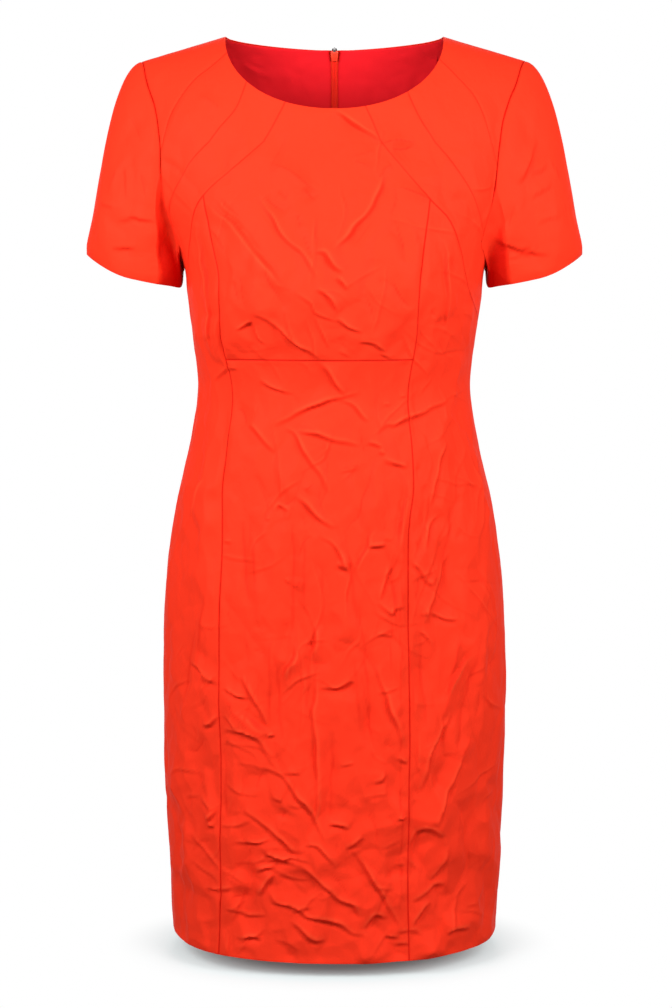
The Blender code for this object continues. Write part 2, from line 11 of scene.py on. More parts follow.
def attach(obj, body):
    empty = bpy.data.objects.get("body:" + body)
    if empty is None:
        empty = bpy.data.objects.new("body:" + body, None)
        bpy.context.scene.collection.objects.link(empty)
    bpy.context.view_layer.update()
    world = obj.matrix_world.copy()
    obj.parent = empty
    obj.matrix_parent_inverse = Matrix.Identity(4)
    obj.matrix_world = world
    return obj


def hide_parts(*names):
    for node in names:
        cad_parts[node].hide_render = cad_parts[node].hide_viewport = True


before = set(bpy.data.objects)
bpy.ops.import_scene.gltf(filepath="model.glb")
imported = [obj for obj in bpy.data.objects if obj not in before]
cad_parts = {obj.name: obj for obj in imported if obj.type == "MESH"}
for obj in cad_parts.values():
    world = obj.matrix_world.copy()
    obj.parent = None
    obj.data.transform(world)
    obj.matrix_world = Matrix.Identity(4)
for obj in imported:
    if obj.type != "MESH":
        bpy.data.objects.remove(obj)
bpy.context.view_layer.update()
bpy.context.scene.view_settings.view_transform = "Standard"

# ---------------------------------------------------------------- camera, light and floor
# The dress hangs clear of a white floor, before a white backdrop, seen from a little above its
# middle. A pair of near lamps stands by the bust, to the left and right of the view, so that the
# hem falls a little into shade, and a pair of far ones softens the sides.
CAMERA_AT = (0.0016, -2.3, -0.211)
CAMERA_TILT = math.radians(6.723)
LENS = 78.8
FLOOR_HEIGHT = -0.957
FLOOR_SIZE = 6.0
FLOOR_TONE = (0.30, 0.30, 0.30, 1)  # what it reflects on the dress
FLOOR_SEEN = (0.74, 0.86, 0.865, 1)  # the look of its shadow
WHITE = (1, 1, 1, 1)
SHADOW_HALF_WIDTH, SHADOW_HALF_DEPTH = 0.188, 0.128
SHADOW_NEAR, SHADOW_FAR = 0.6, 1.3  # shares of those where the shadow is in full and at an end
SHADOW_LIFT = 0.1  # how much of the white shows even at its darkest
LAMPS = {  # where each stands, how wide it is, its watts and the height that it faces
    "near_lamp_left": ((-0.6, -0.85, 0.05), 0.5, 9.0, -0.15),
    "near_lamp_right": ((0.6, -0.85, 0.05), 0.5, 7.2, -0.15),
    "side_lamp_left": ((-1.8, -1.4, 0.4), 1.3, 25.0, -0.3),
    "side_lamp_right": ((1.8, -1.4, 0.4), 1.3, 28.0, -0.3),
    "back_lamp": ((0.0, 2.0, 1.3), 0.8, 18.0, -0.35),
}
WORLD_LIGHT = 0.15

bpy.ops.object.select_all(action="DESELECT")
bpy.ops.object.camera_add(location=CAMERA_AT, rotation=(math.pi / 2 - CAMERA_TILT, 0, 0))
camera = bpy.context.object
camera.data.lens = LENS
bpy.context.scene.camera = camera

for name, (place_at, width, watts, faces) in LAMPS.items():
    toward = Vector((0, 0, faces)) - Vector(place_at)
    turned = toward.to_track_quat("-Z", "Y").to_euler()
    bpy.ops.object.light_add(type="AREA", location=place_at, rotation=turned)
    lamp = bpy.context.object
    lamp.name = name
    lamp.data.size = width
    lamp.data.energy = watts


def fill(tree, node, inputs):
    """Gives each input of a node its value, or links it from a socket."""
    for label, value in inputs.items():
        if isinstance(value, bpy.types.NodeSocket):
            tree.links.new(value, node.inputs[label])
        else:
            node.inputs[label].default_value = value
    return node


def add_node(tree, kind, inputs=None, **settings):
    node = tree.nodes.new(kind)
    for label, value in settings.items():
        setattr(node, label, value)
    return fill(tree, node, inputs or {})


def add_sum(tree, operation, *values):
    """The outcome of a sum on values and sockets."""
    sum_node = add_node(tree, "ShaderNodeMath", dict(enumerate(values)), operation=operation)
    return sum_node.outputs[0]


def seen_directly(tree):
    """A value that is 1 for what the camera sees straight, by a mirror or through glass."""
    rays = add_node(tree, "ShaderNodeLightPath").outputs
    either = add_sum(tree, "MAXIMUM", rays["Is Camera Ray"], rays["Is Glossy Ray"])
    return add_sum(tree, "MAXIMUM", either, rays["Is Transmission Ray"])


def new_material(name):
    material = bpy.data.materials.new(name)
    material.use_nodes = True
    return material, material.node_tree


world = bpy.data.worlds.new("white_room")
bpy.context.scene.world = world
world.use_nodes = True
sky = world.node_tree
sky.nodes.clear()
room_light = add_node(sky, "ShaderNodeBackground", {"Color": WHITE, "Strength": WORLD_LIGHT})
backdrop = add_node(sky, "ShaderNodeBackground", {"Color": WHITE})
either_light = {"Fac": seen_directly(sky), 1: room_light.outputs[0], 2: backdrop.outputs[0]}
chosen = add_node(sky, "ShaderNodeMixShader", either_light)
add_node(sky, "ShaderNodeOutputWorld", {"Surface": chosen.outputs[0]})

bpy.ops.mesh.primitive_plane_add(size=FLOOR_SIZE, location=(0, 0, FLOOR_HEIGHT))
floor = bpy.context.object
floor.name = "floor"
floor_paint, tree = new_material("white_floor")
tree.nodes.clear()
either_tone = {"Factor": seen_directly(tree), "A": FLOOR_TONE, "B": FLOOR_SEEN}
tone = add_node(tree, "ShaderNodeMix", either_tone, data_type="RGBA")
paint = add_node(tree, "ShaderNodeBsdfDiffuse", {"Color": tone.outputs["Result"]})
glow = add_node(tree, "ShaderNodeEmission", {"Color": WHITE})
spot = add_node(tree, "ShaderNodeTexCoord")
to_shares = {0: spot.outputs["Object"], 1: (1 / SHADOW_HALF_WIDTH, 1 / SHADOW_HALF_DEPTH, 0)}
in_shares = add_node(tree, "ShaderNodeVectorMath", to_shares, operation="MULTIPLY")
away = add_node(tree, "ShaderNodeVectorMath", {0: in_shares.outputs["Vector"]}, operation="LENGTH")
fade = {"From Min": SHADOW_NEAR, "From Max": SHADOW_FAR, "To Min": SHADOW_LIFT}
outward = add_node(tree, "ShaderNodeMapRange", fade, interpolation_type="SMOOTHSTEP")
fill(tree, outward, {"Value": away.outputs["Value"]})
share = add_sum(tree, "MULTIPLY", seen_directly(tree), outward.outputs[0])
both = {"Fac": share, 1: paint.outputs[0], 2: glow.outputs[0]}
blend = add_node(tree, "ShaderNodeMixShader", both)
add_node(tree, "ShaderNodeOutputMaterial", {"Surface": blend.outputs[0]})
floor.data.materials.append(floor_paint)

# ---------------------------------------------------------------- front bodice
# The middle of the bodice, from the scooped neckline to the waist seam, in orange cotton sateen.
# Every panel lies on one form, cut along its seam lines, and creases run over the seams.
# Millimetres here: X runs to the wearer's left, and a place is an angle round the form from the
# front centre and a level.
MM = 0.001
SIDES = {"left": 1, "right": -1}
SHOULDER_START = -110.0  # above this level the form curls over to the shoulder line
NECK_HALF = 110.0  # the neckline meets the shoulder seams this far out
SHOULDER_SLOPE = 0.29
NAPE_RISE, NAPE_REACH = 28.0, 50.0  # how the form would rise to a neck, inside the neckline

Section = namedtuple("Section", "level half_width front back squareness")
SECTIONS = (
    Section(-936, 172.3, 122, 112, 2.45),  # hem
    Section(-780, 178.2, 120, 121, 2.40),
    Section(-650, 180.2, 118, 124, 2.35),  # seat
    Section(-552, 176.2, 115, 118, 2.30),
    Section(-473, 163.0, 110, 104, 2.30),  # high hip
    Section(-410, 149.0, 104, 94, 2.20),
    Section(-355, 141.4, 101, 90, 2.20),  # waist
    Section(-331, 143.0, 107, 92, 2.25),
    Section(-300, 147.4, 118, 95, 2.30),
    Section(-262, 152.5, 127, 99, 2.30),  # bust
    Section(-232, 155.8, 124, 101, 2.30),  # underarm
    Section(-200, 165.5, 117, 101, 2.30),
    Section(-160, 187.0, 104, 97, 2.30),  # above the underarm the half width is the arm's side
    Section(-110, 205.0, 86, 84, 2.30),
    Section(-55, 213.0, 68, 68, 2.30),
    Section(0, 214.0, 56, 62, 2.30),
)
LEVELS = np.array([row.level for row in SECTIONS], float)
SIZES = np.array([row[1:] for row in SECTIONS], float)
SLOPES = np.gradient(SIZES, LEVELS, axis=0)

# The broad soft folds: where each starts and ends as seen square on, and its half width and rise.
Fold = namedtuple("Fold", "face x z to_x to_z half_width rise")
FOLDS = (
    Fold("front", -100, -400, -20, -470, 26, 2.2),
    Fold("front", 30, -470, 105, -395, 26, 2.4),
    Fold("front", -25, -560, -20, -760, 30, -2.4),
    Fold("front", 90, -600, 130, -520, 28, -2.6),
    Fold("front", 150, -610, 95, -740, 30, 3.0),
    Fold("front", -150, -560, -105, -700, 30, 2.6),
    Fold("front", -70, -740, 0, -860, 30, 2.8),
    Fold("front", 120, -800, 60, -900, 30, -2.6),
    Fold("front", -130, -860, -60, -925, 28, -2.6),
    Fold("back", -60, -430, 50, -400, 26, 2.4),
    Fold("back", 70, -500, 10, -620, 30, -2.4),
    Fold("back", -110, -620, -60, -780, 30, 2.8),
    Fold("back", 120, -660, 60, -840, 30, 2.8),
    Fold("back", -20, -780, 30, -900, 28, -2.6),
    Fold("back", -90, -300, -20, -250, 26, 2.0),
)


def unit(vectors):
    return vectors / np.linalg.norm(vectors, axis=-1, keepdims=True)


def eased(share):
    """A share from 0 to 1 that starts and ends gently."""
    share = np.clip(share, 0, 1)
    return share * share * (3 - 2 * share)


def eased_row(rows, slopes, row, k, span=1):
    """From one row of a table to the next by a share k, on a curve that is smooth at every row."""
    between = rows[row] * (1 - eased(k)) + rows[row + 1] * eased(k)
    return between + span * k * (1 - k) * (slopes[row] * (1 - k) - slopes[row + 1] * k)


def sizes_at(level):
    """Half width, front depth, back depth and squareness at a level, eased between the rows."""
    level = np.clip(level, LEVELS[0], LEVELS[-1])
    row = np.clip(np.searchsorted(LEVELS, level) - 1, 0, len(LEVELS) - 2)
    span = (LEVELS[row + 1] - LEVELS[row])[..., None]
    k = (level - LEVELS[row])[..., None] / span
    return np.moveaxis(eased_row(SIZES, SLOPES, row, k, span), -1, 0)


def shoulder_line(x):
    """Height of the shoulder line, which runs on over the neck opening as a smooth hump."""
    return NAPE_RISE * np.exp(-((x / NAPE_REACH) ** 2)) - SHOULDER_SLOPE * (np.abs(x) - NECK_HALF)


def fold_rise(x, z, face):
    """How far the broad folds of one face move the cloth out at a place seen square on."""
    rise = np.zeros_like(x)
    for fold in FOLDS:
        if fold.face != face:
            continue
        run = np.array([fold.to_x - fold.x, fold.to_z - fold.z], float)
        length = math.hypot(*run)
        along = ((x - fold.x) * run[0] + (z - fold.z) * run[1]) / length**2
        across = ((x - fold.x) * run[1] - (z - fold.z) * run[0]) / length
        beyond = np.maximum(np.abs(along - 0.5) - 0.3, 0) * length
        rise += fold.rise * np.exp(-(np.hypot(across, beyond) / fold.half_width) ** 2)
    return rise


def form_point(places):
    """Points of the form at (angle, level): the angle runs from the front to the wearer's left."""
    angle, level = places[..., 0], places[..., 1]
    half_width, front, back, squareness = sizes_at(level)
    depth = np.where(np.cos(angle) > 0, front, back)
    total = np.abs(np.cos(angle) / depth) ** squareness
    total += np.abs(np.sin(angle) / half_width) ** squareness
    reach = total ** (-1 / squareness)
    facing = np.abs(np.cos(angle))
    for face, there in (("front", np.cos(angle) > 0), ("back", np.cos(angle) <= 0)):
        rise = fold_rise(reach * np.sin(angle), level, face)
        reach = reach + np.where(there, rise * facing**0.5, 0)
    x = reach * np.sin(angle)
    turn = np.clip(1 - level / SHOULDER_START, 0, 1) * math.pi / 2
    curl = SHOULDER_START + (shoulder_line(x) - SHOULDER_START) * np.sin(turn)
    return np.stack([x, -reach * np.cos(angle) * np.cos(turn), np.where(turn > 0, curl, level)], -1)


def form_normal(places):
    """The outward directions of the form at (angle, level)."""
    turn, climb, drop = (0.002, 0), (0, 0.5), (0, 1.0)
    around = form_point(places + turn) - form_point(places - turn)
    up = form_point(places + climb) - form_point(places - climb)
    top = places[..., 1] > -0.5
    up[top] = (form_point(places) - form_point(places - drop))[top]
    return unit(np.cross(around, up))


def place(x, z, back=False):
    """The angle and level of a point of the front or back, given as seen square on."""
    level = z
    if z > SHOULDER_START:
        share = (z - SHOULDER_START) / (shoulder_line(x) - SHOULDER_START)
        level = SHOULDER_START * (1 - math.asin(min(share, 1.0)) * 2 / math.pi)
    half_width, front_depth, back_depth, squareness = sizes_at(np.array(float(level)))
    rest = max(0.0, 1 - (abs(x) / half_width) ** squareness) ** (1 / squareness)
    angle = math.atan2(x, rest * front_depth)
    if back:
        angle = math.copysign(math.pi - abs(math.atan2(x, rest * back_depth)), x)
    return angle, float(level)


NECK_END = 111.3  # half the width of the neckline
NECK_FRONT, NECK_BACK = (77.5, 2.1), (9.5, 1.6)  # how deep each is, and how square
SHOULDER_TIP = {"left": 196.5, "right": -198.0}
UNDERARM = -231.0
HEM_SIDE, HEM_DIP, HEM_POWER = -930.5, 9.5, 0.7  # it hangs lower in front and behind
WAIST_SEAM = -326.5
NAPE_X = 0.02  # each back panel's neck edge starts this far from the centre
ABOVE_FORM = 50.0  # a height above the whole form: a point placed there lands on the shoulder line
# How many cells each stretch of seam is drawn with.
CELLS = dict(neck=36, inner=16, outer=24, upper=28, lower=76)
CELLS.update(shoulder=20, yoke=12, pit=8, short=12, tip=16)
EDGE_STOPS = 12  # how many points the neckline and the hem are laid through
SEAM_STEPS, CREASE_STEPS = 200, 24  # how finely a line is drawn between two stops, to be measured


def neck_height(x, shape=NECK_FRONT):
    """Height of the neckline, a flattened half ellipse."""
    drop, squareness = shape
    return -drop * max(0.0, 1 - abs(x / NECK_END) ** squareness) ** (1 / squareness)


# Points (x, z) that each seam passes through, as seen square on from the front.
# The inner seam runs from the neckline round to the side seam, the princess seam leaves it
# downwards, and the two shoulder seams above it run from the neckline to the armhole.
SEAM_POINTS = {
    "left": dict(
        armhole_top=((186, -45), (177, -66), (168, -97), (163.5, -135)),
        armhole_middle=((158, -174), (150.5, -203)),
        armhole_pit=((150, -217),),
        upper=((122, -42), (142, -66), (156, -103)),
        middle=((85, -86), (103, -113), (128, -145), (144, -175)),
        inner=((41, -97), (63, -130), (95, -167)),
        outer=((114, -186), (125, -212), (138, -262)),
        princess_top=((87, -227), (84, -266), (79, WAIST_SEAM)),
        princess=((79, -446), (74, -520), (76, -730)),
        neck=(31, 73, 106),
        inner_end=-300.0,
        princess_hem=76.5,
    ),
    "right": dict(
        armhole_top=((-191, -46), (-181, -75), (-177, -98), (-175, -120)),
        armhole_middle=((-173, -153), (-165.5, -185)),
        armhole_pit=((-157, -208),),
        upper=((-124, -33), (-143, -49), (-163, -80)),
        middle=((-98, -76), (-117, -99), (-142, -127), (-157, -151)),
        inner=((-65, -101), (-98, -134), (-131, -163)),
        outer=((-141, -181), (-146, -210), (-150, -238)),
        princess_top=((-122, -210), (-115, -256), (-109, WAIST_SEAM)),
        princess=((-112, -446), (-114, -520), (-116, -730)),
        neck=(-49, -88, -108.5),
        inner_end=-264.0,
        princess_hem=-119.0,
    ),
}
BACK_ARMHOLE = ((188, -44), (178, -75), (172, -105), (169, -140), (164, -172), (157, -200))


def run_distances(points):
    """How far along its line each of a row of points lies."""
    return np.concatenate([[0], np.cumsum(np.linalg.norm(np.diff(points, axis=0), axis=1))])


def points_along(line, far, wanted):
    """The points of a line at wanted distances, where far gives those of its own points."""
    return np.stack([np.interp(wanted, far, line[:, c]) for c in range(line.shape[1])], -1)


def smooth_stretch(knots, first, last, steps):
    """A smooth line through knots (angle, level) from one to another, and its distances."""
    at = np.linspace(first, last, steps * (last - first) + 1)
    row = np.minimum(at.astype(int), last - 1)
    line = eased_row(knots, np.gradient(knots, axis=0), row, (at - row)[:, None])
    return line, run_distances(form_point(line))


def smooth_run(stops, counts):
    """Points on one smooth line through stops, evenly spaced in each stretch.

    stops is a list of stretches, each a list of (angle, level), where a stretch starts at the
    last point of the one before. counts holds the number of cells of each stretch.
    """
    knots = np.array([p for stretch in stops for p in stretch], float)
    ends = np.cumsum([len(stretch) for stretch in stops]) - 1
    run = [knots[:1]]
    for first, last, count in zip([0, *ends[:-1]], ends, counts):
        line, far = smooth_stretch(knots, first, last, SEAM_STEPS)
        run.append(points_along(line, far, np.linspace(0, far[-1], count + 1)[1:]))
    return np.concatenate(run)


def join(*runs):
    """One line from several, each starting where the last one ends."""
    return np.concatenate([runs[0], *(run[1:] for run in runs[1:])])


def hem_level(angle):
    return HEM_SIDE - HEM_DIP * abs(math.cos(angle)) ** HEM_POWER


def neck_run(x_from, x_to, count, back=False):
    """A stretch of the neckline between two places across it."""
    shape = NECK_BACK if back else NECK_FRONT
    end = [math.acos(min(1, max(-1, x / NECK_END))) for x in (x_from, x_to)]
    xs = NECK_END * np.cos(np.linspace(*end, EDGE_STOPS))
    return smooth_run([[place(x, neck_height(x, shape), back) for x in xs]], [count])


def hem_run(angle_from, angle_to, count):
    angles = np.linspace(angle_from, angle_to, EDGE_STOPS)
    return smooth_run([[(a, hem_level(a)) for a in angles]], [count])


def on_front(points):
    return [place(x, z) for x, z in points]


def side_lines(side):
    """All the seam lines of one side as lists of (angle, level)."""
    table, sign = SEAM_POINTS[side], SIDES[side]
    quarter = sign * math.pi / 2
    centre = sign * math.pi
    corner = (quarter, table["inner_end"])
    high_x, tip_x = sign * NECK_END, SHOULDER_TIP[side]
    tip_front, tip_back = place(tip_x, ABOVE_FORM), place(tip_x, ABOVE_FORM, back=True)
    neck_x = dict(zip(("inner", "middle", "upper"), table["neck"]))
    neck_at = {name: on_front([(x, neck_height(x))]) for name, x in neck_x.items()}
    yoke_ends, pit_ends = CELLS["shoulder"], CELLS["shoulder"] + CELLS["yoke"]
    band_cells = CELLS["inner"] + CELLS["outer"] - CELLS["pit"]
    lines = {}

    # The armhole runs down the front to the side seam, and down the back to the same point.
    armhole = [
        [tip_front, *on_front(table["armhole_top"])],
        on_front(table["armhole_middle"]),
        [*on_front(table["armhole_pit"]), (quarter, UNDERARM)],
    ]
    front = smooth_run(armhole, [CELLS["shoulder"], CELLS["yoke"], CELLS["pit"]])
    back_stops = [place(sign * x, z, back=True) for x, z in BACK_ARMHOLE]
    lines["armhole_front"] = front
    lines["armhole_top"] = front[: yoke_ends + 1]
    lines["armhole_middle"] = front[yoke_ends : pit_ends + 1]
    lines["armhole_pit"] = front[pit_ends:]
    lines["armhole_back"] = smooth_run([[tip_back, *back_stops, (quarter, UNDERARM)]], [len(front) - 1])

    # The seams across the shoulder and the bust, and the princess seam down to the hem.
    upper_stops = [*neck_at["upper"], *on_front(table["upper"]), tuple(front[yoke_ends])]
    middle_stops = [*neck_at["middle"], *on_front(table["middle"]), tuple(front[pit_ends])]
    inner_stops = [[*neck_at["inner"], *on_front(table["inner"])], [*on_front(table["outer"]), corner]]
    lines["upper"] = smooth_run([upper_stops], [band_cells])
    lines["middle"] = smooth_run([middle_stops], [band_cells])
    lines["inner"] = smooth_run(inner_stops, [CELLS["inner"], CELLS["outer"]])
    junction = tuple(lines["inner"][CELLS["inner"]])
    hem_angle = place(table["princess_hem"], HEM_SIDE)[0]
    princess_stops = [
        [junction, *on_front(table["princess_top"])],
        [*on_front(table["princess"]), (hem_angle, hem_level(hem_angle))],
    ]
    lines["princess"] = smooth_run(princess_stops, [CELLS["upper"], CELLS["lower"]])

    # The side seam, the shoulder seam and the neckline.
    lines["side_top"] = smooth_run([[(quarter, UNDERARM), corner]], [CELLS["short"]])
    side_end = (quarter, hem_level(quarter))
    lines["side"] = smooth_run([[corner, side_end]], [CELLS["upper"] + CELLS["lower"]])
    lines["shoulder_front"] = smooth_run([[place(high_x, ABOVE_FORM), tip_front]], [band_cells])
    high_back = place(high_x, ABOVE_FORM, back=True)
    lines["shoulder_back"] = smooth_run([[high_back, tip_back]], [CELLS["tip"]])
    lines["neck_shoulder"] = neck_run(high_x, neck_x["upper"], CELLS["shoulder"])
    lines["neck_upper"] = neck_run(neck_x["upper"], neck_x["middle"], CELLS["yoke"])
    lines["neck_lower"] = neck_run(neck_x["middle"], neck_x["inner"], CELLS["short"])
    lines["neck_back"] = neck_run(sign * NAPE_X, high_x, CELLS["shoulder"], back=True)

    # The centre back, which the zip closes, and the hem.
    nape = place(sign * NAPE_X, neck_height(0, NECK_BACK), back=True)[1]
    rows = len(front) + len(lines["side_top"]) + len(lines["side"]) - 3
    lines["centre_back"] = smooth_run([[(centre, nape), (centre, hem_level(centre))]], [rows])
    lines["hem_side"] = hem_run(hem_angle, quarter, CELLS["outer"])
    lines["hem_back"] = hem_run(centre, quarter, CELLS["shoulder"] + CELLS["tip"])
    return lines


LINES = {side: side_lines(side) for side in SIDES}

# A crease is drawn through points (x, z) as seen square on from the front. In the tables its first
# word gives its size: Strong, Medium, Weak or Drag (a long soft one). Its second one gives its
# kind: v is an even trough and k an even crest, and c is a crest and t a trough with one steep
# flank and a broad one, which lies up, down, left or right as seen from the front.
Size = namedtuple("Size", "height reach core")
CREASE_SIZES = {
    "S": Size(3.7, 18.0, 1.55),
    "M": Size(2.7, 14.0, 1.35),
    "W": Size(1.6, 10.0, 1.15),
    "D": Size(2.4, 10.0, 2.6),
}
TOWARD = {"u": (0, 0, 1), "d": (0, 0, -1), "l": (-1, 0, 0), "r": (1, 0, 0)}
CREASE_STEP = 1.5
CREASE_MARGIN = 1.3  # how far round its line a crease is looked for, in shares of its reach
EVEN_SHARE = 0.8  # the height of an even crease, beside one with a steep flank
FLANK_POWER = 1.7  # how soon the broad flank falls away
FOOT_DEPTH, FOOT_AT, FOOT_WIDTH = 0.3, 1.5, 1.6  # the dip below a steep flank; the last two in cores
TAPER_POWER = 0.8  # the lower it is, the fuller a crease stays toward its ends
WAVER, WAVER_LENGTH = 0.25, 9  # how a crease's height varies along it
CREST_HIGHLIGHT_SHARE = 0.5  # how strong the painted highlight on a crease's crest is, beside the painted shade on its steep flank
CREST_AT = 1.9  # how many cores the painted highlight on the crest lies from the steep flank
STEEP_DARK, EVEN_DARK = 0.9, 0.6  # how wide the painted shade line is on each, in cores
FULL_HEIGHT = 3  # a crease this high gets the full painted shade
Crease = namedtuple("Crease", "height reach core kind line side low high")


def crease_steps(far):
    return np.linspace(0, far[-1], max(3, int(far[-1] / CREASE_STEP) + 1))


def crease_along(size, kind, line, outward, sign=1, height_share=1.0):
    """One crease along a line of points; a sign of -1 mirrors where its broad flank lies."""
    side = np.cross(outward, np.gradient(line, axis=0))
    side /= np.linalg.norm(side, axis=1, keepdims=True) + 1e-9
    toward = sum((np.array(TOWARD[letter]) * (sign, 0, 1) for letter in kind[1:]), np.zeros(3))
    if (side @ toward).sum() < 0:
        side = -side
    margin = size.reach * CREASE_MARGIN
    low, high = line.min(0) - margin, line.max(0) + margin
    height = size.height * height_share
    return Crease(height, size.reach, size.core, kind[0], line, side, low, high)


def crease(size, kind, stops, height_share=1.0):
    """One crease of the form through stops (angle, level)."""
    knots = np.array(stops, float)
    line, far = smooth_stretch(knots, 0, len(knots) - 1, CREASE_STEPS)
    line = points_along(line, far, crease_steps(far))
    return crease_along(size, kind, form_point(line), form_normal(line), 1, height_share)


def crease_rows(table):
    """The size, kind and points (x, z) of each row of a table of creases."""
    for row in table.strip().splitlines():
        size, kind, *numbers = row.split()
        yield CREASE_SIZES[size], kind, np.array(numbers, float).reshape(-1, 2)


def creases_from(table, back=False, height_share=1.0):
    return [
        crease(size, kind, [place(x, z, back) for x, z in stops], height_share)
        for size, kind, stops in crease_rows(table)
    ]


def crease_shape(kind, across, reach, core):
    """Height of a crease at a distance across it, where its broad flank is on the plus side."""
    if kind in "vk":
        tent = np.clip(1 - (np.sqrt(across**2 + core**2) - core) / reach, 0, 1) ** 2
        return tent * (EVEN_SHARE if kind == "k" else -EVEN_SHARE)
    flank = np.clip(1 - np.maximum(across, 0) / reach, 0, 1) ** FLANK_POWER
    foot = np.exp(-(((across + FOOT_AT * core) / (FOOT_WIDTH * core)) ** 2))
    rise = eased(across / core / 2 + 0.5) * flank - FOOT_DEPTH * foot
    return rise if kind == "c" else -rise


def creased(points, creases):
    """How far the creases move points of the form out, and how much painted shade each point gets.

    That painted shade is 1 on a steep flank, and below nought on the crest beside it, where a painted
    highlight makes the cloth paler.
    """
    rise, crease_painted_shade = np.zeros(len(points)), np.zeros(len(points))
    for one in creases:
        near = np.flatnonzero(((points > one.low) & (points < one.high)).all(1))
        if not len(near):
            continue
        offset = points[near][:, None] - one.line[None]
        gap = (offset**2).sum(2)
        nearest = gap.argmin(1)
        offset = offset[np.arange(len(near)), nearest]
        across = (offset * one.side[nearest]).sum(1)
        far = np.sqrt(gap.min(1))
        across = np.where(far > np.abs(across) + CREASE_STEP, np.copysign(far, across), across)
        share = nearest / (len(one.line) - 1)
        taper = (4 * share * (1 - share)) ** TAPER_POWER
        taper *= 1 + WAVER * np.sin(nearest * CREASE_STEP / WAVER_LENGTH + one.line[0, 0])
        rise[near] += one.height * taper * crease_shape(one.kind, across, one.reach, one.core)
        narrow = one.core * (EVEN_DARK if one.kind in "vk" else STEEP_DARK)
        strength = taper * min(1, one.height / FULL_HEIGHT)
        # A painted shade line along the crease, and beside a steep flank a painted highlight on its
        # crest.
        crease_painted_shade[near] += strength * np.exp(-((across / narrow) ** 2))
        if one.kind not in "vk":
            crest = across - CREST_AT * one.core * (1 if one.kind == "c" else -1)
            crease_painted_shade[near] -= CREST_HIGHLIGHT_SHARE * strength * np.exp(-((crest / one.core) ** 2))
    return rise, np.clip(crease_painted_shade, -CREST_HIGHLIGHT_SHARE, 1)


WAVES, WAVE_LENGTHS = 14, (0.7, 1.4)  # in one ripple, and their lengths beside its own


def ripple(points, length, seed):
    """A smooth random swell over points in space, about -1 to 1, with swells about length long."""
    chance = np.random.default_rng(seed)
    total = np.zeros(len(points))
    for _ in range(WAVES):
        wave = chance.normal(size=3)
        wave *= 2 * math.pi / (np.linalg.norm(wave) * length * chance.uniform(*WAVE_LENGTHS))
        total += np.sin(points @ wave + chance.uniform(0, 2 * math.pi))
    return total / WAVES**0.5


def drift(points, length, seed, size):
    """A smooth random shift of points in every direction."""
    return np.stack([ripple(points, length, seed + c) for c in range(3)], -1) * size


# Crumples: facets between straight ridges, or straight valleys where the depth is below nought.
Crumple = namedtuple("Crumple", "spacing depth seed")
CRUMPLES = (Crumple(44, 4.4, 3), Crumple(29, -3.0, 5), Crumple(15, 1.2, 7))
CRUMPLED_AREA = 620000  # of the drawn-out form
WORN_LEVELS = (-760, -520, -330, -200, -110, -50, 0)
WORN_SHARES = (1.0, 0.85, 0.75, 0.55, 0.35, 0.15, 0.05)  # of the crumples, at those levels
WARP_LENGTH, WARP_SEED, WARP = 30, 34, 2.5  # bends the ridges a little
AT_ONCE = 1500  # points measured at once, to spare memory


def drawn_out(points):
    """Points in a space where the crumples are as wide as high: they hang long on the real skirt."""
    space = points.copy()
    space[:, 2] = np.interp(points[:, 2], [-950, -760, -330, 0], [-570, -440, -240, 0])
    return space


def gap_to_nearest(points, centres, reach):
    gaps = np.empty(len(points))
    for first in range(0, len(points), AT_ONCE):
        some = points[first : first + AT_ONCE]
        low, high = some[:, 2].min() - reach, some[:, 2].max() + reach
        near = centres[(centres[:, 2] > low) & (centres[:, 2] < high)]
        gaps[first : first + AT_ONCE] = ((some[:, None] - near[None]) ** 2).sum(2).min(1)
    return np.sqrt(gaps)


def on_the_form(chance, spacing):
    """The middles of crumples strewn over the whole form."""
    count = int(CRUMPLED_AREA / spacing**2)
    angles, levels = chance.uniform(-math.pi, math.pi, count), chance.uniform(-950, 10, count)
    return form_point(np.stack([angles, levels], -1))


def crumpled(points, strewn=on_the_form):
    """How far crumples move points out: most on the skirt, little on the chest."""
    worn = np.interp(points[:, 2], WORN_LEVELS, WORN_SHARES)
    space = drawn_out(points + drift(points, WARP_LENGTH, WARP_SEED, WARP))
    rise = np.zeros(len(points))
    for spacing, depth, seed in CRUMPLES:
        centres = drawn_out(strewn(np.random.default_rng(seed), spacing))
        gap = gap_to_nearest(space, centres, 2.5 * spacing) / spacing
        rise += depth * (2 * np.minimum(gap, 1) ** 2 - 0.5)
    return rise * worn


SCATTER_SIZE = Size(1.5, 9.0, 1.15)
SCATTER_HEIGHTS, SCATTER_REACHES = (0.25, 1.0), (5, 12)
SCATTER_MIDDLES, SCATTER_ENDS = 0.92, 0.96  # how far out they lie, in half widths of the form
SLANT_SPREAD, BOW_SPREAD = 0.2, 0.1
ANY_WAY = (-0.75, -0.35, 0.3, 0.8, 1.4)  # the slants of small creases, in radians
HANGING = (-1.45, -1.25, 1.2, 1.4, 1.57)  # and of the long faint ones that the skirt hangs in


def half_width_at(level):
    return float(sizes_at(np.array(level))[0])


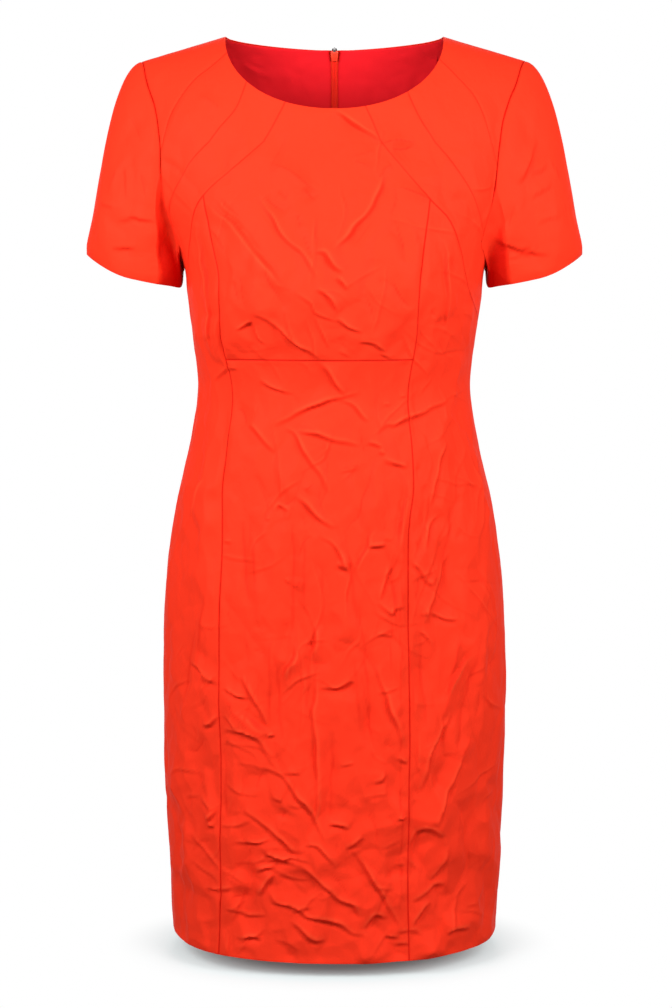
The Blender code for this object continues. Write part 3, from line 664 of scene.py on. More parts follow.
def scattered(count, low, high, seed, back=False, slants=ANY_WAY, lengths=(18, 60)):
    """Small creases strewn over a stretch of the front or back between two levels."""
    chance = np.random.default_rng(seed)
    found = []
    for _ in range(count):
        level = chance.uniform(low, high)
        x = chance.uniform(-SCATTER_MIDDLES, SCATTER_MIDDLES) * half_width_at(level)
        lean = chance.choice(slants) + chance.normal(0, SLANT_SPREAD)
        length = chance.uniform(*lengths)
        bow = chance.normal(0, BOW_SPREAD) * length
        stops = []
        for share in (-0.5, 0.0, 0.5):
            run, off = share * length, bow * (1 - 4 * share**2)
            dx = run * math.cos(lean) - off * math.sin(lean)
            dz = run * math.sin(lean) + off * math.cos(lean)
            end = SCATTER_ENDS * half_width_at(level + dz)
            stops.append(place(float(np.clip(x + dx, -end, end)), level + dz, back))
        kind = chance.choice(["cu", "td", "v", "cu"])
        size = SCATTER_SIZE._replace(reach=chance.uniform(*SCATTER_REACHES))
        found.append(crease(size, kind, stops, chance.uniform(*SCATTER_HEIGHTS)))
    return found


BODICE_CREASES = creases_from(
    height_share=1.25,
    table="""
M k -66 -130 -44 -140 -30 -151 -16 -160
M v -30 -157 -20 -168
M v -68 -163 -61 -172 -48 -180
W v -56 -159 -46 -166
M cur -78 -163 -61 -188 -46 -210 -30 -224 -18 -245
S cdl -129 -165 -92 -200 -60 -240 -40 -260
W cdl -112 -165 -92 -190
M v -68 -238 -47 -275
M cl -136 -186 -132 -226 -125 -272 -121 -325
W v -131 -174 -126 -190 -123 -200
W v -100 -240 -93 -247 -88 -266 -82 -279
W v -100 -246 -93 -268
M td -94 -297 -84 -290 -80 -288
W td -82 -288 -77 -302 -68 -311
S cur -79 -280 -68 -284 -54 -295 -40 -309 -21 -320 -12 -330
W cur -21 -279 -14 -297 -5 -314
W cu -40 -258 -25 -268 -18 -279 4 -289
S cur -19 -219 -10 -221 0 -235 9 -241
M cur 1 -244 12 -256
W v -37 -182 -33 -196
W v -30 -204 -21 -226
M cur -19 -254 -7 -263 2 -279
S tdl 0 -81 21 -95 47 -110
M k 43 -113 57 -110 80 -109
M v 57 -118 68 -118 80 -111
W k 16 -126 28 -122 41 -118
W k 21 -129 37 -137
M k 41 -146 47 -143 50 -137 57 -133
S tdr 50 -143 45 -159 39 -173 32 -184 21 -194 7 -212 1 -218
M k 62 -156 80 -161 97 -168
M v 60 -157 59 -173 55 -182
M v 61 -187 66 -201 69 -215 68 -229
W v 41 -187 28 -201 19 -213
W v 81 -205 89 -205
W v 43 -243 48 -252
M v 55 -242 62 -256 68 -264 78 -275
W v 30 -259 39 -287
M cu 1 -284 14 -294 28 -300
M cu 23 -307 37 -309 50 -317
W cu 4 -318 16 -325
W cu 45 -318 57 -325
W v 3 -303 12 -316
M cr 105 -206 109 -219 109 -242 111 -277 112 -293
W v 114 -224 121 -238
W v 97 -276 102 -284
W v 100 -287 112 -293
W v 105 -307 114 -325
W v 85 -327 91 -326 96 -329
W k -135 -62 -112 -78
"""
)
SKIRT_CREASES = creases_from(
    """
M cu -75 -348 -60 -355 -40 -362
S cur -14 -329 0 -349 9 -360
S cu -60 -393 -47 -386 -39 -381 -29 -377 -17 -371 0 -365 15 -362 25 -360
M v -99 -376 -93 -378 -87 -393
S cur -86 -390 -76 -400 -68 -411 -60 -420
S cr -51 -395 -40 -401 -30 -420 -17 -438 -12 -448 -8 -459
S cu -38 -397 -19 -401 -7 -405 9 -408 25 -412
W v -78 -441 -70 -453 -63 -465
S td -58 -476 -55 -471 -46 -477
M v -53 -469 -43 -466 -38 -461
M k -30 -456 -21 -449
S cur -38 -462 -30 -470 -22 -478 -12 -487 1 -495
M v -23 -501 -30 -507 -34 -515 -37 -525
M cu -15 -502 -4 -509 4 -519 10 -535 16 -540
S cu 2 -531 13 -536
W cu -70 -485 -63 -486
W v -42 -490 -42 -525
W v -85 -481 -85 -514
W v -32 -477 -29 -492
W cu -112 -510 -105 -511
S cr -131 -447 -140 -467 -147 -487
M cu -122 -350 -116 -342 -106 -337 -97 -336
M cu 4 -367 10 -368 20 -374 28 -382 34 -388
W cu 49 -371 57 -372
W cu 66 -364 73 -363
S cu 41 -402 51 -392 60 -392 71 -387 80 -384 90 -380 99 -374 114 -370
M cu 33 -408 40 -411 47 -416
M cu 43 -419 49 -422
S cu 48 -426 59 -429 71 -435
W v 24 -391 27 -407 31 -422
W k 2 -435 35 -428
W td 4 -439 25 -434
M v 40 -423 35 -444 29 -458 24 -481 16 -489 5 -506
W v 49 -471 49 -485 47 -500
S cr 71 -444 72 -461 68 -480 64 -501 61 -517
M cr 41 -492 35 -500 32 -512 26 -523 21 -537
S cu 33 -513 43 -513 52 -512
W cu 49 -505 57 -506
M cl 113 -410 108 -425 104 -446 101 -468 99 -473
W v 91 -452 97 -462
W v 128 -463 124 -475 119 -485
M td 111 -482 101 -489 97 -501 94 -517
W v 132 -499 125 -510
W v 83 -507 90 -517
W v 82 -434 88 -436
W cu -50 -544 -44 -551
M k -32 -544 -38 -555
W v -43 -538 -43 -572
W v -12 -529 -12 -560 -10 -586 -8 -599
W v -48 -589 -52 -613
S cr -40 -609 -43 -624 -50 -636 -53 -645
S cr -19 -590 -20 -607 -23 -622 -25 -631
M v -30 -622 -27 -631 -27 -651 -28 -679
S cr -21 -639 -21 -665 -23 -679 -21 -699 -20 -720 -18 -765 -21 -800
S td -15 -657 -5 -656 6 -655 19 -648
W v -15 -661 6 -659 18 -652
W v -2 -616 4 -616
S cur -93 -645 -87 -659 -78 -674 -72 -688 -68 -697
S cdl -95 -679 -84 -687 -73 -696 -67 -699
M k -113 -663 -95 -688 -76 -703 -69 -707
M cu -112 -657 -100 -665 -89 -667 -84 -667
M cu -113 -686 -106 -691 -100 -701
S cu -113 -702 -99 -702 -87 -704 -77 -711 -70 -721 -62 -728
M cu -68 -707 -62 -704
W v -55 -646 -57 -672 -60 -698
S cu -150 -637 -140 -641 -131 -649 -123 -653 -113 -652
M cu -137 -650 -129 -656
W v -138 -620 -130 -633
S cu -136 -700 -127 -699 -120 -692 -114 -687
W v -136 -670 -130 -694
M v -133 -710 -140 -722 -146 -730 -152 -724
W v -108 -560 -107 -583 -101 -600
W v -81 -589 -70 -596
W v -80 -617 -67 -622
M v 25 -567 25 -583 28 -597 33 -621 40 -635 44 -643
S cr 40 -635 44 -643 51 -662 55 -676 61 -692 69 -717
W v 25 -599 17 -609 10 -618 0 -616
M v 27 -639 29 -651 32 -672 36 -692 39 -720
M cu 42 -569 50 -576 58 -581 62 -576 71 -574
M cu 42 -603 50 -603 59 -606
M cl 60 -519 55 -539 51 -554 47 -567
M v 57 -583 58 -615 58 -652
M k 66 -525 67 -600 67 -700
M k 67 -680 68 -780 68 -900
S cur 78 -530 85 -537 93 -548 103 -553
M v 84 -542 84 -565 88 -572
S cl 121 -522 114 -538 109 -552 103 -568 99 -578 97 -590
M cu 86 -583 96 -582 100 -583 119 -590 128 -592
M cu 86 -598 96 -608 99 -615
S cr 141 -622 135 -630 128 -641 123 -649 116 -664 109 -673
S cul 121 -684 114 -697 107 -709 100 -722 96 -730 94 -741 92 -751 90 -763
W v 148 -655 147 -680 144 -700
W v 154 -612 157 -628 161 -645
S k 141 -712 133 -725 127 -731
W v 130 -600 140 -612
W v 63 -684 72 -684
W v 50 -711 61 -718
S cu -92 -782 -83 -790 -71 -799 -62 -806 -50 -817 -42 -823 -33 -822 -29 -820
S cur -74 -738 -63 -741 -52 -746 -46 -754 -38 -767 -31 -773 -24 -783 -19 -793 -12 -808 -9 -816
M cu -52 -743 -33 -743
M v -73 -739 -76 -749 -78 -762
M cu -63 -768 -52 -773
W cu -46 -777 -32 -777
M v -48 -780 -53 -790
M cu -101 -818 -91 -817 -76 -815 -64 -811
S td -69 -823 -68 -829 -52 -832 -43 -829
M cu -77 -835 -55 -834 -38 -836
M cu -81 -847 -71 -842 -60 -839
S cul -76 -871 -70 -860 -62 -846
S tdl -38 -836 -29 -843 -18 -853 -7 -862 6 -874 18 -879 21 -885 25 -893
M cur -31 -816 -19 -817 -12 -823 -3 -834 1 -840
S cu -6 -796 7 -797 14 -801
S cu -70 -865 -60 -877 -46 -881 -35 -885 -28 -890 -11 -894 6 -899 18 -908 29 -911 33 -916
M td -112 -888 -101 -891 -92 -894 -82 -893 -71 -892
M cu -134 -872 -121 -870 -111 -868 -104 -865
M v -107 -874 -95 -873 -83 -874
M cu -95 -923 -90 -917 -77 -917
S cur -46 -897 -35 -905 -23 -915 -8 -917
W cu -155 -779 -139 -776
M cu -139 -775 -124 -786
S cul -130 -800 -122 -790 -119 -785
M cu -131 -804 -121 -804
W v -147 -738 -137 -762 -131 -775
M cr -148 -815 -138 -826 -128 -838 -119 -848
W cr -148 -843 -138 -850 -126 -857 -120 -865
S k -118 -847 -110 -856 -100 -861 -86 -866
W v -94 -798 -94 -809 -90 -818 -87 -833 -83 -856
M cu 63 -727 74 -733
W v 84 -736 92 -730
W v 80 -757 90 -770
S cl 132 -726 129 -739 120 -757 114 -770 108 -785 104 -799
S cu 80 -819 85 -808 91 -803 100 -804 108 -811
M cl 117 -824 114 -837 108 -849 100 -858
S td 80 -879 88 -875 100 -868 108 -864 114 -866
S cul 82 -904 92 -889 100 -881
W v 113 -862 117 -872 117 -881
S cu 42 -753 49 -750 53 -744
W v 41 -760 39 -779 35 -787 39 -794 43 -808 45 -826
W cu 6 -736 21 -732
S cu 11 -821 21 -816 29 -809
S tdl 16 -822 21 -826 28 -839 37 -853 45 -865 52 -878 57 -886 66 -902
M v -5 -843 4 -855 9 -860 16 -869 23 -873
S cu 31 -905 39 -895 43 -890 53 -896
M cu 53 -912 66 -915
M cu 66 -909 80 -909 91 -914
M cu 62 -923 77 -923
S cu 114 -914 123 -912 139 -914
W cu 136 -890 149 -890
M cu 63 -790 74 -790
M v 55 -786 62 -796
W v 66 -777 70 -771
S v 70 -839 70 -853
W v 56 -843 59 -855
W v 35 -836 43 -842 51 -849
W cu 42 -861 61 -865
W v 66 -869 60 -879
W v 2 -806 5 -829 18 -831
W k -5 -760 7 -768 23 -777 29 -780
W k 132 -790 127 -810 123 -830
D v -94 -487 -90 -530 -86 -574
D k -83 -500 -78 -570
D v -41 -482 -41 -565 -48 -625
D k -30 -500 -30 -580
D v 10 -496 18 -550 25 -602
D v 29 -602 34 -660 36 -713
D k 20 -620 26 -700
D v 53 -515 60 -560 63 -602
D v 120 -473 116 -520 110 -568
D v 147 -607 134 -680 120 -741
D k 130 -600 112 -690
D v -141 -602 -150 -640 -155 -683
D k -128 -560 -140 -640
D v -58 -620 -54 -713
D k -64 -600 -66 -690
D v 86 -600 92 -700
D k 76 -610 80 -690
D v -2 -700 -4 -790
D v -112 -720 -110 -800
"""
)
FRONT_CREASES = BODICE_CREASES + SKIRT_CREASES
FRONT_CREASES += scattered(16, -320, -110, 11) + scattered(28, -560, -330, 12)
FRONT_CREASES += scattered(50, -760, -560, 13) + scattered(60, -925, -720, 14)
FRONT_CREASES += scattered(34, -700, -430, 15, slants=HANGING, lengths=(50, 130))
FRONT_CREASES += scattered(26, -330, -130, 16, slants=(-0.9, -0.7, -0.5, 1.3), lengths=(40, 90))

WALL = 0.8  # the sateen with its turning, as a plain sheet
SEAM_GAP = -0.06  # each panel laps its seam line by this, so that no light shows through
FLANK_SHADE = 0.44  # how strong the painted shade on a crease's steep flank is, beside a seam's painted shadow
SEAM_SHADE = 0.8  # how far from a seam its painted shadow reaches
# How deep the cloth rolls in at each kind of edge, and how wide that roll is. The depth also sets how
# dark a seam's painted shadow is.
SEAM, SHOULDER_SEAM, FAINT_SEAM, ZIP_EDGE, NECK, HEM = 0.8, 0.4, 0.45, 0.45, 0.25, 0.35
FAINT_FROM, FAINT_TO = -185, -150  # between these levels the curved seam turns faint
ROLL_WIDTH, ROLL_POWER = 0.8, 1.4
# Beside it the cloth dips in a wider, puckered band: its share of the depth, its width, and how
# much, at what length and from which seed the pucker varies.
PUCKER_SHARE, PUCKER_WIDTH, PUCKER, PUCKER_LENGTH, PUCKER_SEED = 0.2, 4.5, 0.9, 12, 21
EDGE_ROWS = (0.0, 0.35, 0.95, 1.7)  # rows close to an edge, for its roll
CELL_FRONT, CELL_SIDE, CELL_BACK = 1.9, 2.2, 2.8
# The share of its creases that the cloth keeps at an edge, and how far in it has them all. Then
# the share where it faces sideways, and how soon it has them all as it turns to front or back.
EDGE_HOLD, AWAY_HOLD = (0.25, 7), (0.15, 1.5)
SMOOTH_UNDER = math.radians(50)  # edges that turn less than this look round
DRIFT_LENGTH, DRIFT_SEED, DRIFT = 26, 31, 0.8  # makes the creases run less straight


def fractions(length, cell):
    """Places along a side of a panel: even cells, with closer ones by both ends."""
    count = max(4, round(length / cell))
    even = np.linspace(0, 1, count + 1)[2:-2]
    near = np.array(EDGE_ROWS) / length
    return np.concatenate([near, even, 1 - near[::-1]])


def at_shares(line, shares):
    return points_along(line, np.arange(len(line)), shares * (len(line) - 1))


def patch(top, bottom, start, end, cell, reach=1.0):
    """A net of (angle, level) filling four seam lines, down to the share that reach gives.

    top and bottom run the same way, and start and end join their ends, downwards.
    """
    wide = max(run_distances(form_point(line))[-1] for line in (top, bottom))
    tall = max(run_distances(form_point(line))[-1] for line in (start, end))
    columns, rows = fractions(wide, cell), fractions(tall * reach, cell) * reach
    across, down = columns[None, :, None], rows[:, None, None]
    top, bottom = at_shares(top, columns), at_shares(bottom, columns)
    start, end = at_shares(start, rows), at_shares(end, rows)
    net = (1 - down) * top[None] + down * bottom[None]
    net = net + (1 - across) * start[:, None] + across * end[:, None]
    corners = (1 - down) * ((1 - across) * top[0] + across * top[-1])
    corners = corners + down * ((1 - across) * bottom[0] + across * bottom[-1])
    return net - corners


def edge_distances(points):
    """How far each point of a net lies from its top, bottom, start and end edges."""
    down = np.linalg.norm(np.diff(points, axis=0), axis=2)
    across = np.linalg.norm(np.diff(points, axis=1), axis=2)
    from_top = np.concatenate([np.zeros((1, points.shape[1])), np.cumsum(down, 0)])
    from_start = np.concatenate([np.zeros((points.shape[0], 1)), np.cumsum(across, 1)], 1)
    return from_top, from_top[-1:] - from_top, from_start, from_start[:, -1:] - from_start


def rolled(points, edges):
    """How far the cloth dips at the edges of a net: edges gives the dip of each, top to end."""
    dip = np.zeros(points.shape[:2])
    pucker = ripple(points.reshape(-1, 3), PUCKER_LENGTH, PUCKER_SEED).reshape(dip.shape)
    pucker = PUCKER_SHARE * (1 + PUCKER * pucker)
    for distance, depth in zip(edge_distances(points), edges):
        dip = np.maximum(dip, depth * np.exp(-((distance / ROLL_WIDTH) ** ROLL_POWER)))
        dip = np.maximum(dip, depth * np.exp(-((distance / PUCKER_WIDTH) ** 2)) * pucker)
    return dip


def painted_seam_shade(points, edges):
    """How dark the painted shadow of its seams makes each point of a net, from 0 to 1."""
    shade = np.zeros(points.shape[:2])
    for distance, depth in zip(edge_distances(points), edges):
        if np.max(depth) >= SHOULDER_SEAM:
            dark = np.minimum(1, depth / SEAM)
            shade = np.maximum(shade, dark * np.exp(-((distance / SEAM_SHADE) ** 2)))
    return shade


def joined_shade(seams, crease_painted_shade):
    """The painted shade of a net: the painted shadow of its seams, with the painted shade and highlight
    of the creases wherever a seam's doesn't cover them.
    """
    return seams + (1 - seams) * FLANK_SHADE * crease_painted_shade.reshape(seams.shape)


def held(points, normals, by_edges, by_facing):
    """The share of its creases that each point keeps, less by an edge and where it faces away."""
    least, width = by_edges
    sideways, gain = by_facing
    far = np.clip(np.min(edge_distances(points), axis=0) / width, 0, 1)
    facing = np.clip(np.abs(normals[..., 1]) * gain, 0, 1)
    return (least + (1 - least) * far) * (sideways + (1 - sideways) * facing)


def drawn_in(points, gaps):
    """Moves the edges of a net in from the seam lines."""
    rims = ((np.s_[0], np.s_[1]), (np.s_[-1], np.s_[-2]))
    rims += ((np.s_[:, 0], np.s_[:, 1]), (np.s_[:, -1], np.s_[:, -2]))
    moved = points.copy()
    for (rim, inner), gap in zip(rims, gaps):
        moved[rim] += unit(points[inner] - points[rim]) * gap
    return moved


def sheet_from(name, points, outward, shades=None, wall=WALL):
    """A wall of cloth as one mesh, its outer face through a net of points, in millimetres."""
    rows, columns = points.shape[:2]
    bpy.ops.object.select_all(action="DESELECT")
    bpy.ops.mesh.primitive_grid_add(x_subdivisions=columns - 1, y_subdivisions=rows - 1, size=1)
    cloth = bpy.context.object
    cloth.name = name
    cloth.data.name = name
    middle = points[rows // 2, columns // 2]
    right_way = points[rows // 2, columns // 2 + 1] - middle
    upward = points[rows // 2 - 1, columns // 2] - middle
    net = points[::-1]
    shades = np.zeros((rows, columns)) if shades is None else shades[::-1]
    if np.cross(right_way, upward) @ outward[rows // 2, columns // 2] < 0:
        net, shades = net[:, ::-1], shades[:, ::-1]
    cloth.data.vertices.foreach_set("co", (net.reshape(-1) * MM).astype(np.float32))
    cloth.data.update()
    shade = cloth.data.attributes.new("shade", "FLOAT", "POINT")
    shade.data.foreach_set("value", shades.reshape(-1).astype(np.float32))
    thick = cloth.modifiers.new("wall", "SOLIDIFY")
    thick.thickness = wall * MM
    thick.offset = -1
    bpy.ops.object.modifier_apply(modifier=thick.name)
    bpy.ops.object.shade_smooth_by_angle(angle=SMOOTH_UNDER)
    return cloth


CRINKLE_NOISE = {"Scale": 150.0, "Detail": 3.0, "Roughness": 0.55}
CRINKLE_HEIGHT, YARN_HEIGHT, YARN_SHARE = 0.0012, 0.00008, 0.5
BLOTCH_NOISE, RIB_STRETCH = {"Scale": 22.0}, (1, 1, 0.12)


def add_weave_group():
    """Fine ribbed yarns and small crinkles: a tone that varies, and a normal."""
    group = bpy.data.node_groups.new("Woven sateen", "ShaderNodeTree")
    for label, default in (("Yarns per metre", 2600.0), ("Crinkle", 0.35), ("Mottle", 0.05)):
        socket = group.interface.new_socket(label, in_out="INPUT", socket_type="NodeSocketFloat")
        socket.default_value = default
    group.interface.new_socket("Tone", in_out="OUTPUT", socket_type="NodeSocketFloat")
    group.interface.new_socket("Normal", in_out="OUTPUT", socket_type="NodeSocketVector")
    given = add_node(group, "NodeGroupInput").outputs
    at = add_node(group, "ShaderNodeTexCoord").outputs["Object"]
    long = add_node(group, "ShaderNodeMapping", {"Vector": at, "Scale": RIB_STRETCH}).outputs[0]
    ribs = {"Vector": long, "Scale": given["Yarns per metre"], "Detail": 1.0}
    noises = (ribs, {"Vector": at, **CRINKLE_NOISE}, {"Vector": at, **BLOTCH_NOISE})
    yarns, crinkled, mottled = (
        add_node(group, "ShaderNodeTexNoise", noise).outputs[0] for noise in noises
    )
    soft = {"Distance": CRINKLE_HEIGHT, "Strength": given["Crinkle"], "Height": crinkled}
    crinkles = add_node(group, "ShaderNodeBump", soft).outputs[0]
    fine = {"Distance": YARN_HEIGHT, "Strength": YARN_SHARE, "Height": yarns, "Normal": crinkles}
    bumps = add_node(group, "ShaderNodeBump", fine).outputs[0]
    centred = add_sum(group, "SUBTRACT", add_sum(group, "ADD", mottled, yarns), 1.0)
    tone = add_sum(group, "MULTIPLY_ADD", centred, given["Mottle"], 1.0)
    add_node(group, "NodeGroupOutput", {"Tone": tone, "Normal": bumps})
    return group


WEAVE = add_weave_group()
PAINTED_SHADE_SHARES = (0.7, 0.2, 0.28)  # of its colour that the sateen keeps under full painted shade, in a seam or on a crease's flank
PAINTED_HIGHLIGHT_SHARES = (1.04, 3.4, 3.4)  # of its colour that it shows under a full painted highlight, on a crease's crest


def colour_ramp(tree, factor, *stops):
    """A colour that follows a factor, from stops (place, colour), the two outer ones first."""
    ramp = add_node(tree, "ShaderNodeValToRGB", {"Fac": factor})
    elements = ramp.color_ramp.elements
    for index, (position, colour) in enumerate(stops):
        element = elements[index] if index < 2 else elements.new(position)
        element.position = position
        element.color = (*colour, 1)
    return ramp.outputs["Color"]


def cloth_material(name, colour, roughness, sheen, crinkle, mottle):
    """Woven cloth, with painted shade in its seams and creases and a painted highlight on their crests.
    """
    material, tree = new_material(name)
    texture = {"Crinkle": crinkle, "Mottle": mottle}
    weave = add_node(tree, "ShaderNodeGroup", texture, node_tree=WEAVE)
    # The shade attribute: painted shade above nought, painted highlight below nought.
    shade = add_node(tree, "ShaderNodeAttribute", attribute_name="shade")
    halfway = add_sum(tree, "MULTIPLY_ADD", shade.outputs["Fac"], 0.5, 0.5)
    pale, deep = (np.multiply(colour, shares).tolist() for shares in (PAINTED_HIGHLIGHT_SHARES, PAINTED_SHADE_SHARES))
    colour_with_painted_light = colour_ramp(tree, halfway, (0, pale), (1, deep), (0.5, colour))
    tones = {"Factor": 1.0, "A": colour_with_painted_light, "B": weave.outputs["Tone"]}
    dyed = add_node(tree, "ShaderNodeMix", tones, data_type="RGBA", blend_type="MULTIPLY")
    surface = {
        "Base Color": dyed.outputs["Result"],
        "Normal": weave.outputs["Normal"],
        "Roughness": roughness,
        "Specular IOR Level": 0.02,
        "Sheen Weight": sheen,
        "Sheen Roughness": 0.45,
        "Sheen Tint": (1.0, 0.45, 0.35, 1),
    }
    fill(tree, tree.nodes["Principled BSDF"], surface)
    return material


SATEEN = cloth_material("orange_sateen", (0.825, 0.0335, 0.0118), 0.55, 0.0, 0.3, 0.06)


def dress_with(cloth, points, node, material=SATEEN):
    """Gives a piece its cloth and its body, and hides the CAD node that it stands for.

    It also works out its cut, the width, length and area of its net of points laid flat, in metres, but
    nothing uses it.
    """
    across = np.linalg.norm(np.diff(points, axis=1), axis=2).sum(1).max() * MM
    down = np.linalg.norm(np.diff(points, axis=0), axis=2).sum(0).max() * MM
    corners = points[:-1, 1:] - points[1:, :-1], points[:-1, :-1] - points[1:, 1:]
    area = np.linalg.norm(np.cross(*corners), axis=2).sum() / 2 * MM**2
    cloth.data.materials.append(material)
    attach(cloth, "dress")
    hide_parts(node)
    area = min(area, across * down)


def cloth_panel(name, node, net, creases, edges, worn=1.0):
    """A panel of sateen over a net: creases, its share of the crumples, and rolled edges."""
    points, normals = form_point(net), form_normal(net)
    flat = points.reshape(-1, 3)
    rise, crease_painted_shade = creased(flat + drift(flat, DRIFT_LENGTH, DRIFT_SEED, DRIFT), creases)
    rise = (rise + worn * crumpled(flat)).reshape(points.shape[:2])
    rise = rise * held(points, normals, EDGE_HOLD, AWAY_HOLD) - rolled(points, edges)
    moved = drawn_in(points, (SEAM_GAP,) * 4) + rise[..., None] * normals
    shade = joined_shade(painted_seam_shade(points, edges), crease_painted_shade)
    piece = sheet_from(name, moved, normals, shade)
    dress_with(piece, points, node)


left, right = LINES["left"], LINES["right"]
neck_ends = [SEAM_POINTS[side]["neck"][0] for side in ("right", "left")]
neck_centre = neck_run(*neck_ends, CELLS["neck"])
waist_ends = [SEAM_POINTS[side]["princess_top"][-1][0] for side in ("right", "left")]
waist_stops = [(x, WAIST_SEAM) for x in np.linspace(*waist_ends, 9)]
waist = smooth_run([on_front(waist_stops)], [CELLS["neck"]])


def bodice_edge(lines):
    return join(lines["inner"][: CELLS["inner"] + 1], lines["princess"][: CELLS["upper"] + 1])


def inner_dips(levels):
    """How deep the curved seam over the bust lies: it is faint above the bust."""
    return np.interp(levels, [FAINT_FROM, FAINT_TO], [SEAM, FAINT_SEAM])


net = patch(neck_centre, waist, bodice_edge(right), bodice_edge(left), CELL_FRONT)
edges = (NECK, SEAM, *(inner_dips(net[:, end, 1])[:, None] for end in (0, -1)))
cloth_panel("bodice_front", "front_bodice_centre", net, FRONT_CREASES, edges)

# ---------------------------------------------------------------- front skirt
# The middle of the skirt, from the waist seam to the hem, between the two princess seams.
hem_centre = hem_run(right["princess"][-1][0], left["princess"][-1][0], CELLS["neck"])


def skirt_edge(lines):
    return lines["princess"][CELLS["upper"] :]


net = patch(waist, hem_centre, skirt_edge(right), skirt_edge(left), CELL_FRONT)
edges = (SEAM, HEM, SEAM, SEAM)
cloth_panel("skirt_front", "front_skirt_centre", net, FRONT_CREASES, edges)

# ---------------------------------------------------------------- bands and shoulder pieces
# Two curved bands on each side run from the neckline under the arm, and a yoke piece above them
# reaches the shoulder seam. They are seamed to each other edge to edge, and lie flat there.
for side, lines in LINES.items():
    lines["under_arm"] = join(lines["middle"], lines["armhole_pit"])
    cuts = (
        ("shoulder_yoke", "front_shoulder", "shoulder_front upper neck_shoulder armhole_top"),
        ("band_upper", "front_band_upper", "upper middle neck_upper armhole_middle"),
        ("band_lower", "front_band_lower", "under_arm inner neck_lower side_top"),
    )
    hangs_from = f"back_{side}"
    for name, node, around in cuts:
        net = patch(*(lines[line] for line in around.split()), CELL_SIDE)
        upper_dip = SHOULDER_SEAM if name == "shoulder_yoke" else FAINT_SEAM
        lower_dip = inner_dips(net[-1, :, 1]) if name == "band_lower" else FAINT_SEAM
        edges = (upper_dip, lower_dip, NECK, SEAM)
        cloth_panel(f"{name}_{side}", f"{node}_{side}", net, FRONT_CREASES, edges)
        hangs_from = f"{name}_{side}"

# ---------------------------------------------------------------- front side panels
# One on each side, from the curved seam over the bust down to the hem, beside the princess seam.
for side, lines in LINES.items():
    round_bust = lines["inner"][CELLS["inner"] :]
    net = patch(round_bust, lines["hem_side"], lines["princess"], lines["side"], CELL_SIDE)
    edges, hangs_from = (SEAM, HEM, SEAM, SEAM), [f"band_lower_{side}"]
    cloth_panel(f"side_front_{side}", f"front_side_{side}", net, FRONT_CREASES, edges)

# ---------------------------------------------------------------- backs
# Each back is one panel from the neck and shoulder seam to the hem, joined down the centre by a
# concealed zip and, below it, a plain seam.
BACK_CREASES = creases_from(
    """
M k 66 -140 44 -150 20 -165
M cul 70 -170 50 -200 30 -232
S cdr 120 -180 88 -215 55 -250
W v 96 -240 86 -270
M cur -110 -170 -85 -200 -60 -225
W v -70 -150 -50 -165
M cu -30 -250 -60 -268 -92 -270
S cu 84 -285 60 -296 30 -310 8 -316
M cu 62 -345 35 -350 8 -362
S cu -8 -330 -30 -350 -62 -356
S cu 90 -388 60 -380 30 -372 6 -370
M cul 80 -410 62 -428 40 -440
S cl 52 -400 36 -430 18 -458
M cu -20 -395 -55 -400 -88 -385
S cu -8 -420 -40 -424 -80 -438
S cr -110 -440 -104 -470 -98 -500
M v 30 -480 22 -520 24 -560
S cu -12 -505 -34 -512 -60 -508
M cu 66 -500 40 -512 20 -530
W v 92 -470 96 -505
S cul 124 -520 100 -550 88 -575
M cu -70 -560 -40 -575 -14 -580
S cr -30 -600 -26 -650 -32 -700
M v 26 -590 30 -640 24 -690
S cu 18 -655 44 -650 70 -640
S cur 92 -640 78 -670 66 -700
M cu 110 -700 84 -706 60 -722
S cur -130 -620 -112 -655 -100 -680
S cl -92 -690 -70 -720 -62 -756
M cu -120 -590 -96 -600 -80 -598
S cu 130 -750 96 -762 60 -790 30 -806
S cul 70 -735 44 -760 20 -806
M cu 90 -820 60 -828 36 -830
S tdr 36 -836 10 -866 -14 -890
S cu 70 -868 40 -882 4 -896 -24 -914
M td 108 -890 84 -896 66 -892
S cl -104 -740 -96 -780 -84 -800
S cu -84 -815 -96 -804 -112 -812
M cu -30 -790 -50 -800 -70 -796
S td -80 -880 -100 -868 -120 -866
M cur -20 -836 -40 -866 -60 -900
W v -44 -750 -38 -790
M cu -60 -912 -90 -914
S cu 136 -700 122 -694 108 -690
M v 146 -650 142 -690
M cu -146 -560 -130 -566
M v -150 -700 -146 -740
""",
    back=True,
)
BACK_CREASES += scattered(30, -320, -110, 41, True) + scattered(50, -560, -330, 42, True)
BACK_CREASES += scattered(110, -925, -560, 43, True)
BACK_CREASES += scattered(34, -700, -430, 44, True, HANGING, (50, 130))
BACK_WORN = 0.7  # the back's crumples, beside the front's
BACK_LINES = {}
for side, lines in LINES.items():
    top_edge = join(lines["neck_back"], lines["shoulder_back"])
    outer_edge = join(lines["armhole_back"], lines["side_top"], lines["side"])
    BACK_LINES[side] = (top_edge, lines["hem_back"], lines["centre_back"], outer_edge)
    net = patch(*BACK_LINES[side], CELL_BACK)
    edges, hangs_from = (SHOULDER_SEAM, HEM, ZIP_EDGE, SEAM), [f"shoulder_yoke_{side}"]
    cloth_panel(f"back_panel_{side}", f"back_{side}", net, BACK_CREASES, edges, BACK_WORN)

